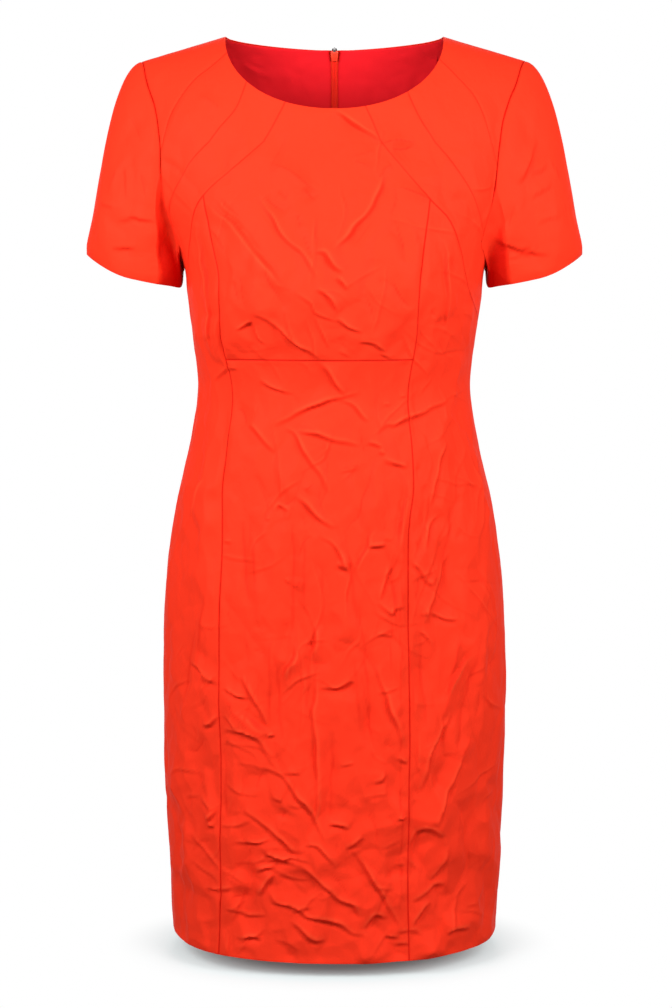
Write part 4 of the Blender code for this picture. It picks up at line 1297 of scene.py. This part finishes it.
# ---------------------------------------------------------------- sleeves
# A short set-in sleeve on each side: one piece of the sateen, eased into the armhole and closed
# by a seam under the arm.
SLEEVE_HEM_CENTRE = (207.4, 3.0, -232.0)
SLEEVE_HEM_OUT = (49.6, 0.0, 10.5)  # from the centre to the outer end of the hem
SLEEVE_HEM_FRONT = (0.0, -44.0, -14.5)  # from the centre to the front of the hem
SLEEVE_HEM_ROUND = (1.9, 4.2)  # squareness of the hem on its outer and inner halves
SLEEVE_START = 0.3  # how far the sleeve's edge stands off the armhole edge
SLEEVE_TUCK = 2.4  # how far its turning lies inside the form
CAP_OUT = (28.0, 0.0, -9.0)  # how the cloth leaves the armhole at the top, the middle and the pit
MIDDLE_OUT = (17.0, -6.0, -38.0)
PIT_OUT = (0.6, 0.0, -3.5)
HEM_PULL = (100.0, 44.0, 4.0)  # how long it then runs straight to the hem in those three places
FOLD_FROM, FOLD_DEPTH = 0.28, 15.0  # the deep fold on its inner front: how far round, and how deep
CORNER_DROP = 6.5  # how far the inner corner of the hem hangs lower
CELL_SLEEVE = 2.4
SLEEVE_AROUND = 160
SLEEVE_CRUMPLED, SLEEVE_CLOTH = 0.9, 40000  # its share of the skirt's crumples, and its area
SLEEVE_EDGE_HOLD, SLEEVE_AWAY_HOLD = (0.1, 9), (0.1, 1.4)
SLEEVE_SEAM = 0.35  # how deep the seam under the arm lies
SLEEVE_LONG = 170  # its length, for the number of rows
# The painted shade in the deep fold on the sleeve's inner front, where little light reaches: its
# strength, how soon it comes in round the sleeve, and where down the sleeve it starts and over how far.
FOLD_SHADE, FOLD_SHADE_ROUND, FOLD_SHADE_DOWN = 0.85, 0.1, (0.25, 0.3)
CAP_POWER, PIT_POWER = 1.5, 0.9  # how soon the top and the pit give way to the middle
STRAIGHT_POWER = 2.2  # keeps the hem's outer half straight as seen from the front
FOLD_POWER, FOLD_START_POWER, CORNER_POWERS = 0.6, 0.5, (4, 3)
SLEEVE_CREASES = {  # points (x, z) as seen square on from the front, on the sleeve's front
    "left": """
M cul 182 -151 191 -146 192 -141 198 -128 202 -116 207 -108
M cu 199 -141 205 -139 216 -134
M cu 199 -165 208 -159 220 -153
S td 162 -207 173 -212 184 -217 198 -222 220 -223
W cu 173 -226 191 -226
M k 169 -189 172 -217
W cu 205 -190 226 -184
W v 232 -170 240 -200
W v 181 -172 176 -196
W k 214 -120 226 -140 234 -160
""",
    "right": """
W v -206 -84 -199 -98 -194 -109
M cu -220 -190 -206 -185 -192 -187 -180 -189
M td -225 -216 -203 -216
S v -171 -191 -173 -212 -179 -240
W cu -212 -133 -211 -166
W v -196 -140 -190 -165
W cu -238 -170 -222 -176
W v -242 -190 -244 -214
W k -210 -120 -222 -140 -230 -160
""",
}
SLEEVE_BACK_CREASES = """
M cu 176 -158 190 -150 204 -136
M cu 190 -186 206 -180 224 -170
S td 166 -204 180 -212 198 -218 216 -218
W v 184 -176 180 -200
W k 210 -124 222 -144 230 -166
W cu 222 -200 240 -196
"""


def sleeve_net(side):
    """The sleeve as a tube from the armhole to the tilted hem, and the painted shade in its fold."""
    sign, lines = SIDES[side], LINES[side]
    count = SLEEVE_AROUND // 2
    halves = (lines["armhole_front"][::-1], lines["armhole_back"])
    loop = join(*(at_shares(half, np.linspace(0, 1, count + 1)) for half in halves))
    ring = math.pi * (1 - np.arange(len(loop)) / count)
    mirror = np.array([sign, 1, 1])
    reach, face = np.cos(ring)[:, None], np.sin(ring)[:, None]
    power = 2 / np.where(reach > 0, *SLEEVE_HEM_ROUND)
    hem = np.sign(reach) * np.abs(reach) ** power * np.array(SLEEVE_HEM_OUT)
    hem = hem + np.sign(face) * np.abs(face) ** power * np.array(SLEEVE_HEM_FRONT) + SLEEVE_HEM_CENTRE
    straight = np.where(reach > 0, np.abs(face) ** STRAIGHT_POWER - np.abs(face) ** power, 0)
    hem[:, 2:] += np.sign(face) * straight * SLEEVE_HEM_FRONT[2]
    axis = np.cross(SLEEVE_HEM_OUT, SLEEVE_HEM_FRONT)
    axis /= -np.linalg.norm(axis) * np.sign(axis[2])
    cap, pit = np.maximum(reach, 0) ** CAP_POWER, np.maximum(-reach, 0) ** PIT_POWER
    middle = np.abs(face)
    share = cap + pit + middle
    toward = np.where(face < 0, -1, 1) * [0, 1, 0] + [1, 0, 1]
    leave = (cap * CAP_OUT + middle * np.array(MIDDLE_OUT) * toward + pit * PIT_OUT) / share
    pull = (cap * HEM_PULL[0] + middle * HEM_PULL[1] + pit * HEM_PULL[2]) / share
    hem, leave, axis = hem * mirror, leave * mirror, axis * mirror
    edge = form_point(loop) + SLEEVE_START * unit(unit(leave) + form_normal(loop))
    k = fractions(SLEEVE_LONG, CELL_SLEEVE)[:, None, None]
    tube = (1 - k) ** 3 * edge + 3 * k * (1 - k) ** 2 * (edge + leave)
    tube = tube + 3 * k * k * (1 - k) * (hem - axis * pull) + k**3 * hem
    inner = np.clip((-reach - FOLD_FROM) / (1 - FOLD_FROM), 0, 1) ** FOLD_POWER
    folded = inner * (face > 0) * np.minimum(1, 3 * k) ** FOLD_START_POWER
    tube[..., 1:2] += FOLD_DEPTH * folded
    around_power, down_power = CORNER_POWERS
    tube[..., 2:] -= CORNER_DROP * np.maximum(-reach, 0) ** around_power * k**down_power
    down = np.gradient(tube, axis=0)
    around = np.gradient(tube, axis=1)
    around[:, 0] = around[:, -1] = tube[:, 1] - tube[:, -2]
    normal = unit(np.cross(down, around) * sign)
    tuck = SLEEVE_TUCK * (0.5 + 0.5 * np.clip(1 - 2 * reach, 0, 1))
    tucked = form_point(loop) - tuck * form_normal(loop)
    shade_from, shade_over = FOLD_SHADE_DOWN
    # Painted shade in the fold where the sleeve turns in against the body.
    shaded = eased((-reach - FOLD_FROM) / FOLD_SHADE_ROUND) * (face > 0)
    shaded = FOLD_SHADE * shaded * eased((k - shade_from) / shade_over)
    return tube, normal, tucked, shaded[..., 0]


def sleeve_creases(table, tube, normals, sign=1, back=False):
    """Creases on a sleeve, each of its points laid on the nearest point seen square on."""
    half = tube.shape[1] // 2
    part = np.s_[:, half:] if back else np.s_[:, : half + 1]
    spots, facing = tube[part].reshape(-1, 3), normals[part].reshape(-1, 3)
    found = []
    for size, kind, stops in crease_rows(table):
        stops = stops * (sign, 1)
        far = run_distances(stops)
        wanted = points_along(stops, far, crease_steps(far))
        nearest = ((spots[None, :, [0, 2]] - wanted[:, None]) ** 2).sum(2).argmin(1)
        line = spots[nearest]
        line[1:-1] = line[:-2] / 4 + line[1:-1] / 2 + line[2:] / 4
        found.append(crease_along(size, kind, line, facing[nearest], sign))
    return found


def on_the_sleeve(chance, spacing):
    """The middles of crumples strewn over the sleeve that is being made."""
    count = int(SLEEVE_CLOTH / spacing**2)
    return flat[chance.integers(len(flat), size=count)]


for side, sign in SIDES.items():
    tube, normals, tucked_edge, fold_shade = sleeve_net(side)
    creases = sleeve_creases(SLEEVE_CREASES[side], tube, normals)
    creases += sleeve_creases(SLEEVE_BACK_CREASES, tube, normals, sign, back=True)
    flat = tube.reshape(-1, 3)
    rise, crease_painted_shade = creased(flat, creases)
    rise = (rise + SLEEVE_CRUMPLED * crumpled(flat, on_the_sleeve)).reshape(tube.shape[:2])
    hold = held(tube, normals, SLEEVE_EDGE_HOLD, SLEEVE_AWAY_HOLD)
    rise = rise * hold - rolled(tube, (SEAM, HEM, SLEEVE_SEAM, SLEEVE_SEAM))
    moved = drawn_in(tube, (0.0, 0.0, SEAM_GAP, SEAM_GAP)) + rise[..., None] * normals
    moved[0] = tucked_edge
    # Painted shadow along its seams, painted shade and highlight on its creases, and painted shade in
    # the fold under the arm.
    shade = joined_shade(painted_seam_shade(tube, (SEAM, HEM, 0.0, 0.0)), crease_painted_shade)
    piece = sheet_from(f"set_in_sleeve_{side}", moved, normals, np.maximum(shade, fold_shade))
    dress_with(piece, tube, f"sleeve_{side}")

# ---------------------------------------------------------------- lining inside the back neck
# A crimson lining in two halves, felled inside the back neck, which stops short of the zip.
LINING_DEPTH = 3.1  # its outer face lies this far inside the form, clear of the zip tape
LINING_WALL = 0.6
LINING_AT_NECK, LINING_AT_ARMHOLE = 1.0, 5.0  # how far it stops short of those edges
ZIP_OPENING = (6.5, 3.6)  # half the gap that it leaves for the zip, at the neck and below
CRIMSON_CLOTH = cloth_material("crimson_lining", (0.72, 0.0115, 0.0178), 0.55, 0.05, 0.25, 0.06)


def at_distances(net, wanted):
    """Places of a net at wanted distances from the start edge, in millimetres, row by row."""
    wanted = np.broadcast_to(wanted, (len(net), np.shape(wanted)[-1]))
    far = edge_distances(form_point(net))[2]
    return np.array([points_along(*row) for row in zip(net, far, wanted)])


LINING_SHADE_WIDTH, LINING_PAINTED_SHADE = 1.6, 0.7  # where it is turned under beside the zip, a strip of painted shade stands for the shadow in the gap: its width and strength
BACK_ROWS = 39  # the back panel's length in the steps that the lining and the zip are cut by
LINING_ROWS, ZIP_ROWS = 5, 22
LINING_CREASES = creases_from(
    """
W v -88 -30 -74 -52 -68 -72
M td -96 -22 -82 -28 -70 -40
W v 24 -24 30 -46 27 -66
W v 36 -30 33 -52 38 -74
W k 30 -26 33 -60
M v 92 -24 80 -40 74 -62
W v 60 -28 68 -52
W v -30 -34 -26 -60
W k -50 -26 -46 -60
W cu -60 -84 -34 -92 -12 -90
""",
    back=True,
)
CELL_LINING, CELL_ACROSS, LINING_WIDE = 2.2, 2.4, 110
OPENING_CURVE = (9, 1.3)  # how soon the gap by the zip narrows
LINING_CREASED, LINING_SWELL, LINING_RIPPLE = 0.8, (34, 61, 0.6), (12, 62, 0.2)
LINING_HOLD_NECK, LINING_HOLD_ZIP = 8, 5
for side in SIDES:
    net = patch(*BACK_LINES[side], CELL_LINING, LINING_ROWS / BACK_ROWS)
    below, _, beside, _ = edge_distances(form_point(net))
    widest, narrowest = ZIP_OPENING
    reach, power = OPENING_CURVE
    gap = narrowest + (widest - narrowest) * np.exp(-((below[:, :1] / reach) ** power))
    shares = fractions(LINING_WIDE, CELL_ACROSS)[None]
    net = at_distances(net, gap + shares * (beside[:, -1:] - gap - LINING_AT_ARMHOLE))
    points, normals = form_point(net), form_normal(net)
    flat = points.reshape(-1, 3)
    rise = LINING_CREASED * creased(flat, LINING_CREASES)[0]
    for length, seed, height in (LINING_SWELL, LINING_RIPPLE):
        rise += height * ripple(flat, length, seed)
    from_neck, _, from_zip, _ = edge_distances(points)
    hold = np.clip(np.minimum(from_neck / LINING_HOLD_NECK, from_zip / LINING_HOLD_ZIP), 0, 1)
    rise = -np.abs(rise.reshape(hold.shape)) * hold - LINING_DEPTH
    moved = drawn_in(points, (LINING_AT_NECK, 0.0, 0.0, 0.0)) + rise[..., None] * normals
    # A strip of painted shade beside the zip.
    painted_shade_by_zip = LINING_PAINTED_SHADE * np.exp(-((from_zip / LINING_SHADE_WIDTH) ** 2))
    piece = sheet_from(f"neck_lining_{side}", moved, normals, painted_shade_by_zip, LINING_WALL)
    node, hangs_from = f"back_lining_{side}", [f"back_panel_{side}"]
    dress_with(piece, points, node, CRIMSON_CLOTH)

# ---------------------------------------------------------------- centre-back zip
# A concealed zip, dyed to match: two woven tapes sewn inside the back panels, each with a coil of
# monofilament folded back along its edge.
TAPE_DEPTH, TAPE_WALL, TAPE_WIDTH = 1.95, 0.7, 11.0
COIL_ACROSS, COIL_DEPTH = 1.35, 3.2  # its middle: from the centre line, and inside the form
COIL_HALF, COIL_WIRE, COIL_PITCH = 1.0, 0.42, 1.5
COIL_LEAN, COIL_FLAT = 0.35, 0.85  # how far each loop leans, and how flat it is pressed
ZIP_START = 3.0  # below the neck edge
TAPE_CLOTH = cloth_material("zip_tape", (0.86, 0.042, 0.017), 0.6, 0.05, 0.1, 0.10)
COIL_NYLON, tree = new_material("zip_coil")
spot = add_node(tree, "ShaderNodeTexCoord")
grain = add_node(tree, "ShaderNodeTexNoise", {"Vector": spot.outputs["Object"], "Scale": 900.0})
red = colour_ramp(tree, grain.outputs[0], (0, (0.90, 0.020, 0.012)), (1, (0.96, 0.034, 0.020)))
surface = {"Base Color": red, "Roughness": 0.5, "Specular IOR Level": 0.03}
fill(tree, tree.nodes["Principled BSDF"], surface)

bpy.ops.object.select_all(action="DESELECT")
bpy.ops.mesh.primitive_torus_add(
    major_segments=8, minor_segments=4, major_radius=1.0, minor_radius=COIL_WIRE / COIL_HALF
)
loop_piece = bpy.context.object
LOOP_POINTS = np.array([v.co for v in loop_piece.data.vertices])
LOOP_FACES = np.array([p.vertices for p in loop_piece.data.polygons])
bpy.data.objects.remove(loop_piece, do_unlink=True)

TAPE_COLUMNS = np.array([[0.04, 0.5, 1.4, 2.6, 4.6, 6.6, 8.6, 10.4, TAPE_WIDTH]])
CELL_ZIP = 2.5
for side, sign in SIDES.items():
    net = patch(*BACK_LINES[side], CELL_ZIP, ZIP_ROWS / BACK_ROWS)
    strip = at_distances(net, TAPE_COLUMNS)
    strip = strip[edge_distances(form_point(strip))[0][:, 0] > ZIP_START]
    normals = form_normal(strip)
    moved = form_point(strip) - TAPE_DEPTH * normals
    tape = sheet_from(f"tape_{side}", moved, normals, wall=TAPE_WALL)

    # The coil: one loop after another, each leaning a little, along the tape's edge.
    path = at_distances(net, np.array([[COIL_ACROSS, COIL_ACROSS + 1.0]]))
    inward = -form_normal(path[:, 0])
    across = form_point(path[:, 1]) - form_point(path[:, 0])
    middle = form_point(path[:, 0]) + COIL_DEPTH * inward
    far = run_distances(middle)
    stations = np.arange(ZIP_START, far[-1] - 1, COIL_PITCH)
    centre, side_way, in_way = (points_along(run, far, stations) for run in (middle, across, inward))
    side_way = unit(side_way)
    down_way = np.cross(side_way, in_way)
    x, y, z = (LOOP_POINTS[None, :, c, None] for c in range(3))
    loops = centre[:, None] + side_way[:, None] * x * COIL_HALF
    loops = loops + in_way[:, None] * y * COIL_HALF * COIL_FLAT
    loops = loops + down_way[:, None] * (z * COIL_HALF + COIL_LEAN * sign * x)
    first = np.arange(len(stations))[:, None, None] * len(LOOP_POINTS)
    faces = (LOOP_FACES[None] + first).reshape(-1, 4)
    mesh = bpy.data.meshes.new(f"coil_{side}")
    mesh.from_pydata((loops.reshape(-1, 3) * MM).tolist(), [], faces.tolist())
    mesh.update()
    mesh.shade_smooth()
    coil = bpy.data.objects.new(f"coil_{side}", mesh)
    bpy.context.scene.collection.objects.link(coil)
    if sum(p.normal.dot(p.center - Vector(centre[0] * MM)) for p in list(mesh.polygons)[:32]) < 0:
        mesh.flip_normals()
    coil.data.materials.append(COIL_NYLON)
    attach(coil, "dress")
    tape.data.materials.append(TAPE_CLOTH)
    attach(tape, "dress")
    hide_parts(f"zip_tape_{side}")
    length = far[-1] - ZIP_START
    flat = (TAPE_WIDTH * MM, length * MM)

# ---------------------------------------------------------------- zip slider
# An enamelled slider: its plate lies inside the coil, just under the neck edge, and a bare steel
# bridge passes over the edge to the eye outside, which holds the pull.
# Places are (across, down the back, out from the back) from the neck edge.
PLATE_TOP, PLATE_END, PLATE_IN, PLATE_THICK = -1.0, 9.4, 5.3, 1.5
PLATE_HALF_TOP, PLATE_HALF_END, PLATE_EDGE = 4.1, 3.1, 0.7
RIB_HALF_TOP, RIB_HALF_END, RIB_HEIGHT, RIB_EDGE = 0.9, 0.6, 0.45, 0.25  # along the plate's middle
RIB_TOP, RIB_END = 0.4, PLATE_END - 1.2
BRIDGE_HALF, BRIDGE_TOP, BRIDGE_END = 1.2, -2.6, -0.8
RISER_EDGE, BAR_EDGE = 0.35, 0.4
EYE_WIRE, EYE_CORNER = 0.38, 1.0
EYE_FROM, EYE_TO = (-3.0, 0.5), (2.2, 3.5)
SUNK = 0.1  # how far a part of it runs into the next
PIVOT_DOWN, PIVOT_OUT = -1.5, 2.0
nape = np.array([[math.pi, LINES["left"]["centre_back"][0][1]]])
NAPE = form_point(nape)[0]
OUT = form_normal(nape)[0] * (0, 1, 1)
DOWN = np.array([0.0, OUT[2], -OUT[1]])
nape_frame = Matrix(np.column_stack([(1, 0, 0), DOWN, OUT]).tolist()).to_4x4() @ Matrix.Scale(MM, 4)
nape_frame.translation = Vector(NAPE * MM)

WEAR_NOISE, GLOSSIER, DULLER = {"Scale": 420.0, "Detail": 4.0}, 0.08, 0.1


def metal(name, dark, pale, roughness, metallic, coat=0.0):
    """A cast and finished metal: worn colour from soft noise, fine tool marks in its gloss."""
    material, tree = new_material(name)
    spot = add_node(tree, "ShaderNodeTexCoord")
    noise = {"Vector": spot.outputs["Object"], **WEAR_NOISE}
    wear = add_node(tree, "ShaderNodeTexNoise", noise).outputs[0]
    gloss = {"Value": wear, "To Min": roughness - GLOSSIER, "To Max": roughness + DULLER}
    surface = {
        "Base Color": colour_ramp(tree, wear, (0.35, dark), (0.65, pale)),
        "Roughness": add_node(tree, "ShaderNodeMapRange", gloss).outputs[0],
        "Metallic": metallic,
        "Coat Weight": coat,
    }
    fill(tree, tree.nodes["Principled BSDF"], surface)
    return material


ENAMEL = metal("slider_enamel", (0.84, 0.040, 0.016), (0.92, 0.054, 0.021), 0.34, 0.0, 0.3)
STEEL = metal("dark_steel", (0.09, 0.085, 0.085), (0.16, 0.15, 0.15), 0.52, 1.0)


def box(name, across, down, out, end_across=None):
    """A box between two places on each axis, which may narrow to its lower end."""
    bpy.ops.object.select_all(action="DESELECT")
    bpy.ops.mesh.primitive_cube_add(size=2)
    piece = bpy.context.object
    piece.name = name
    for vertex in piece.data.vertices:
        x, y, z = vertex.co
        half = end_across or across if y > 0 else across
        vertex.co = (x * half, down[int(y > 0)], out[int(z > 0)])
    return piece


def softened(piece, width, segments, sharper_than=30):
    """Rounds the edges of a piece that turn by more than an angle."""
    soft = piece.modifiers.new("soft_edges", "BEVEL")
    soft.width = width
    soft.segments = segments
    soft.limit_method = "ANGLE"
    soft.angle_limit = math.radians(sharper_than)
    bpy.ops.object.modifier_apply(modifier=soft.name)
    return piece


def wire_loop(name, y_from, z_from, y_to, z_to, wire, corner):
    """A closed loop of wire in the plane of the back's middle, with round corners."""
    centre_y, centre_z = (y_from + y_to) / 2, (z_from + z_to) / 2
    half_y, half_z = (y_to - y_from) / 2 - wire - corner, (z_to - z_from) / 2 - wire - corner
    curve = bpy.data.curves.new(name, "CURVE")
    curve.dimensions = "3D"
    curve.bevel_depth = wire
    curve.bevel_resolution = 3
    turns = np.linspace(0, 2 * math.pi, 33)[:-1]
    spline = curve.splines.new("POLY")
    spline.points.add(len(turns) - 1)
    spline.use_cyclic_u = True
    for point, turn in zip(spline.points, turns):
        y = centre_y + math.copysign(half_y, math.cos(turn)) + corner * math.cos(turn)
        z = centre_z + math.copysign(half_z, math.sin(turn)) + corner * math.sin(turn)
        point.co = (0, y, z, 1)
    piece = bpy.data.objects.new(name, curve)
    bpy.context.scene.collection.objects.link(piece)
    bpy.ops.object.select_all(action="DESELECT")
    piece.select_set(True)
    bpy.context.view_layer.objects.active = piece
    bpy.ops.object.convert(target="MESH")
    return bpy.context.object


def joined(name, pieces, material, placed):
    """One piece from several, with its place in its mesh."""
    bpy.ops.object.select_all(action="DESELECT")
    for piece in pieces:
        piece.select_set(True)
    bpy.context.view_layer.objects.active = pieces[0]
    if len(pieces) > 1:
        bpy.ops.object.join()
    whole = bpy.context.object
    whole.name = name
    whole.data.name = name
    whole.data.materials.clear()
    whole.data.materials.append(material)
    whole.data.transform(placed)
    bpy.ops.object.shade_smooth_by_angle(angle=math.radians(40))
    return whole


inside = (-PLATE_IN - PLATE_THICK, -PLATE_IN)
plate = box("plate", PLATE_HALF_TOP, (PLATE_TOP, PLATE_END), inside, PLATE_HALF_END)
softened(plate, PLATE_EDGE, 3)
on_plate = (inside[0] - RIB_HEIGHT, inside[0] + 2 * SUNK)
rib = box("rib", RIB_HALF_TOP, (RIB_TOP, RIB_END), on_plate, RIB_HALF_END)
softened(rib, RIB_EDGE, 3)
slider = joined("slider_body", [plate, rib], ENAMEL, nape_frame)
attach(slider, "dress")
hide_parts("zip_slider")

in_plate = (inside[0] + SUNK, inside[1] - SUNK)
riser = softened(box("riser", BRIDGE_HALF, (BRIDGE_TOP, PLATE_TOP + 1), in_plate), RISER_EDGE, 3)
to_eye = (inside[0] + SUNK, EYE_FROM[1] + EYE_WIRE)
bar = softened(box("bar", BRIDGE_HALF, (BRIDGE_TOP, BRIDGE_END), to_eye), BAR_EDGE, 3)
eye = wire_loop("eye", *EYE_FROM, *EYE_TO, EYE_WIRE, EYE_CORNER)
bridge = joined("slider_bridge", [bar, riser, eye], STEEL, nape_frame)
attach(bridge, "dress")

# ---------------------------------------------------------------- zip pull
# A flat pull of dark steel that hangs outside the back from the slider's eye, and swings on it.
PULL_THICK, PULL_HALF, PULL_ARM, PULL_LENGTH = 0.9, 2.6, 1.0, 22.0
PULL_CORNER, HOLE_CORNER, PULL_EDGE = 1.6, 0.9, 0.16
PULL_TOP = -0.45
PULL_HOLE = (0.45, 4.6)  # from the pivot down
PULL_LEAN = math.radians(-2.6)  # the pull's end rests nearer the cloth
faces = (-PULL_THICK / 2, PULL_THICK / 2)


def bevelled_plate(name, half, down, out, corner):
    """A flat plate whose corners are rounded as seen from the front."""
    piece = box(name, half, down, out)
    bpy.ops.object.mode_set(mode="EDIT")
    bpy.ops.mesh.select_all(action="DESELECT")
    bpy.ops.object.mode_set(mode="OBJECT")
    for edge in piece.data.edges:
        start, end = (piece.data.vertices[v].co for v in edge.vertices)
        edge.select = (start - end).xy.length < 1e-6
    bpy.ops.object.mode_set(mode="EDIT")
    bpy.ops.mesh.select_mode(type="EDGE")
    bpy.ops.mesh.bevel(offset=corner, segments=5, affect="EDGES")
    bpy.ops.object.mode_set(mode="OBJECT")
    return piece


blade = bevelled_plate("blade", PULL_HALF, (PULL_TOP, PULL_LENGTH), faces, PULL_CORNER)
through = (-PULL_THICK, PULL_THICK)
hole = bevelled_plate("hole", PULL_HALF - PULL_ARM, PULL_HOLE, through, HOLE_CORNER)
opening = blade.modifiers.new("opening", "BOOLEAN")
opening.operation = "DIFFERENCE"
opening.solver = "EXACT"
opening.object = hole
bpy.ops.object.select_all(action="DESELECT")
blade.select_set(True)
bpy.context.view_layer.objects.active = blade
bpy.ops.object.modifier_apply(modifier=opening.name)
bpy.data.objects.remove(hole, do_unlink=True)
softened(blade, PULL_EDGE, 2, sharper_than=50)
pivot = nape_frame @ Matrix.Translation((0, PIVOT_DOWN, PIVOT_OUT)) @ Matrix.Rotation(PULL_LEAN, 4, "X")
pull = joined("steel_pull", [blade], STEEL, pivot)
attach(pull, "zip_pull")
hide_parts("zip_pull")
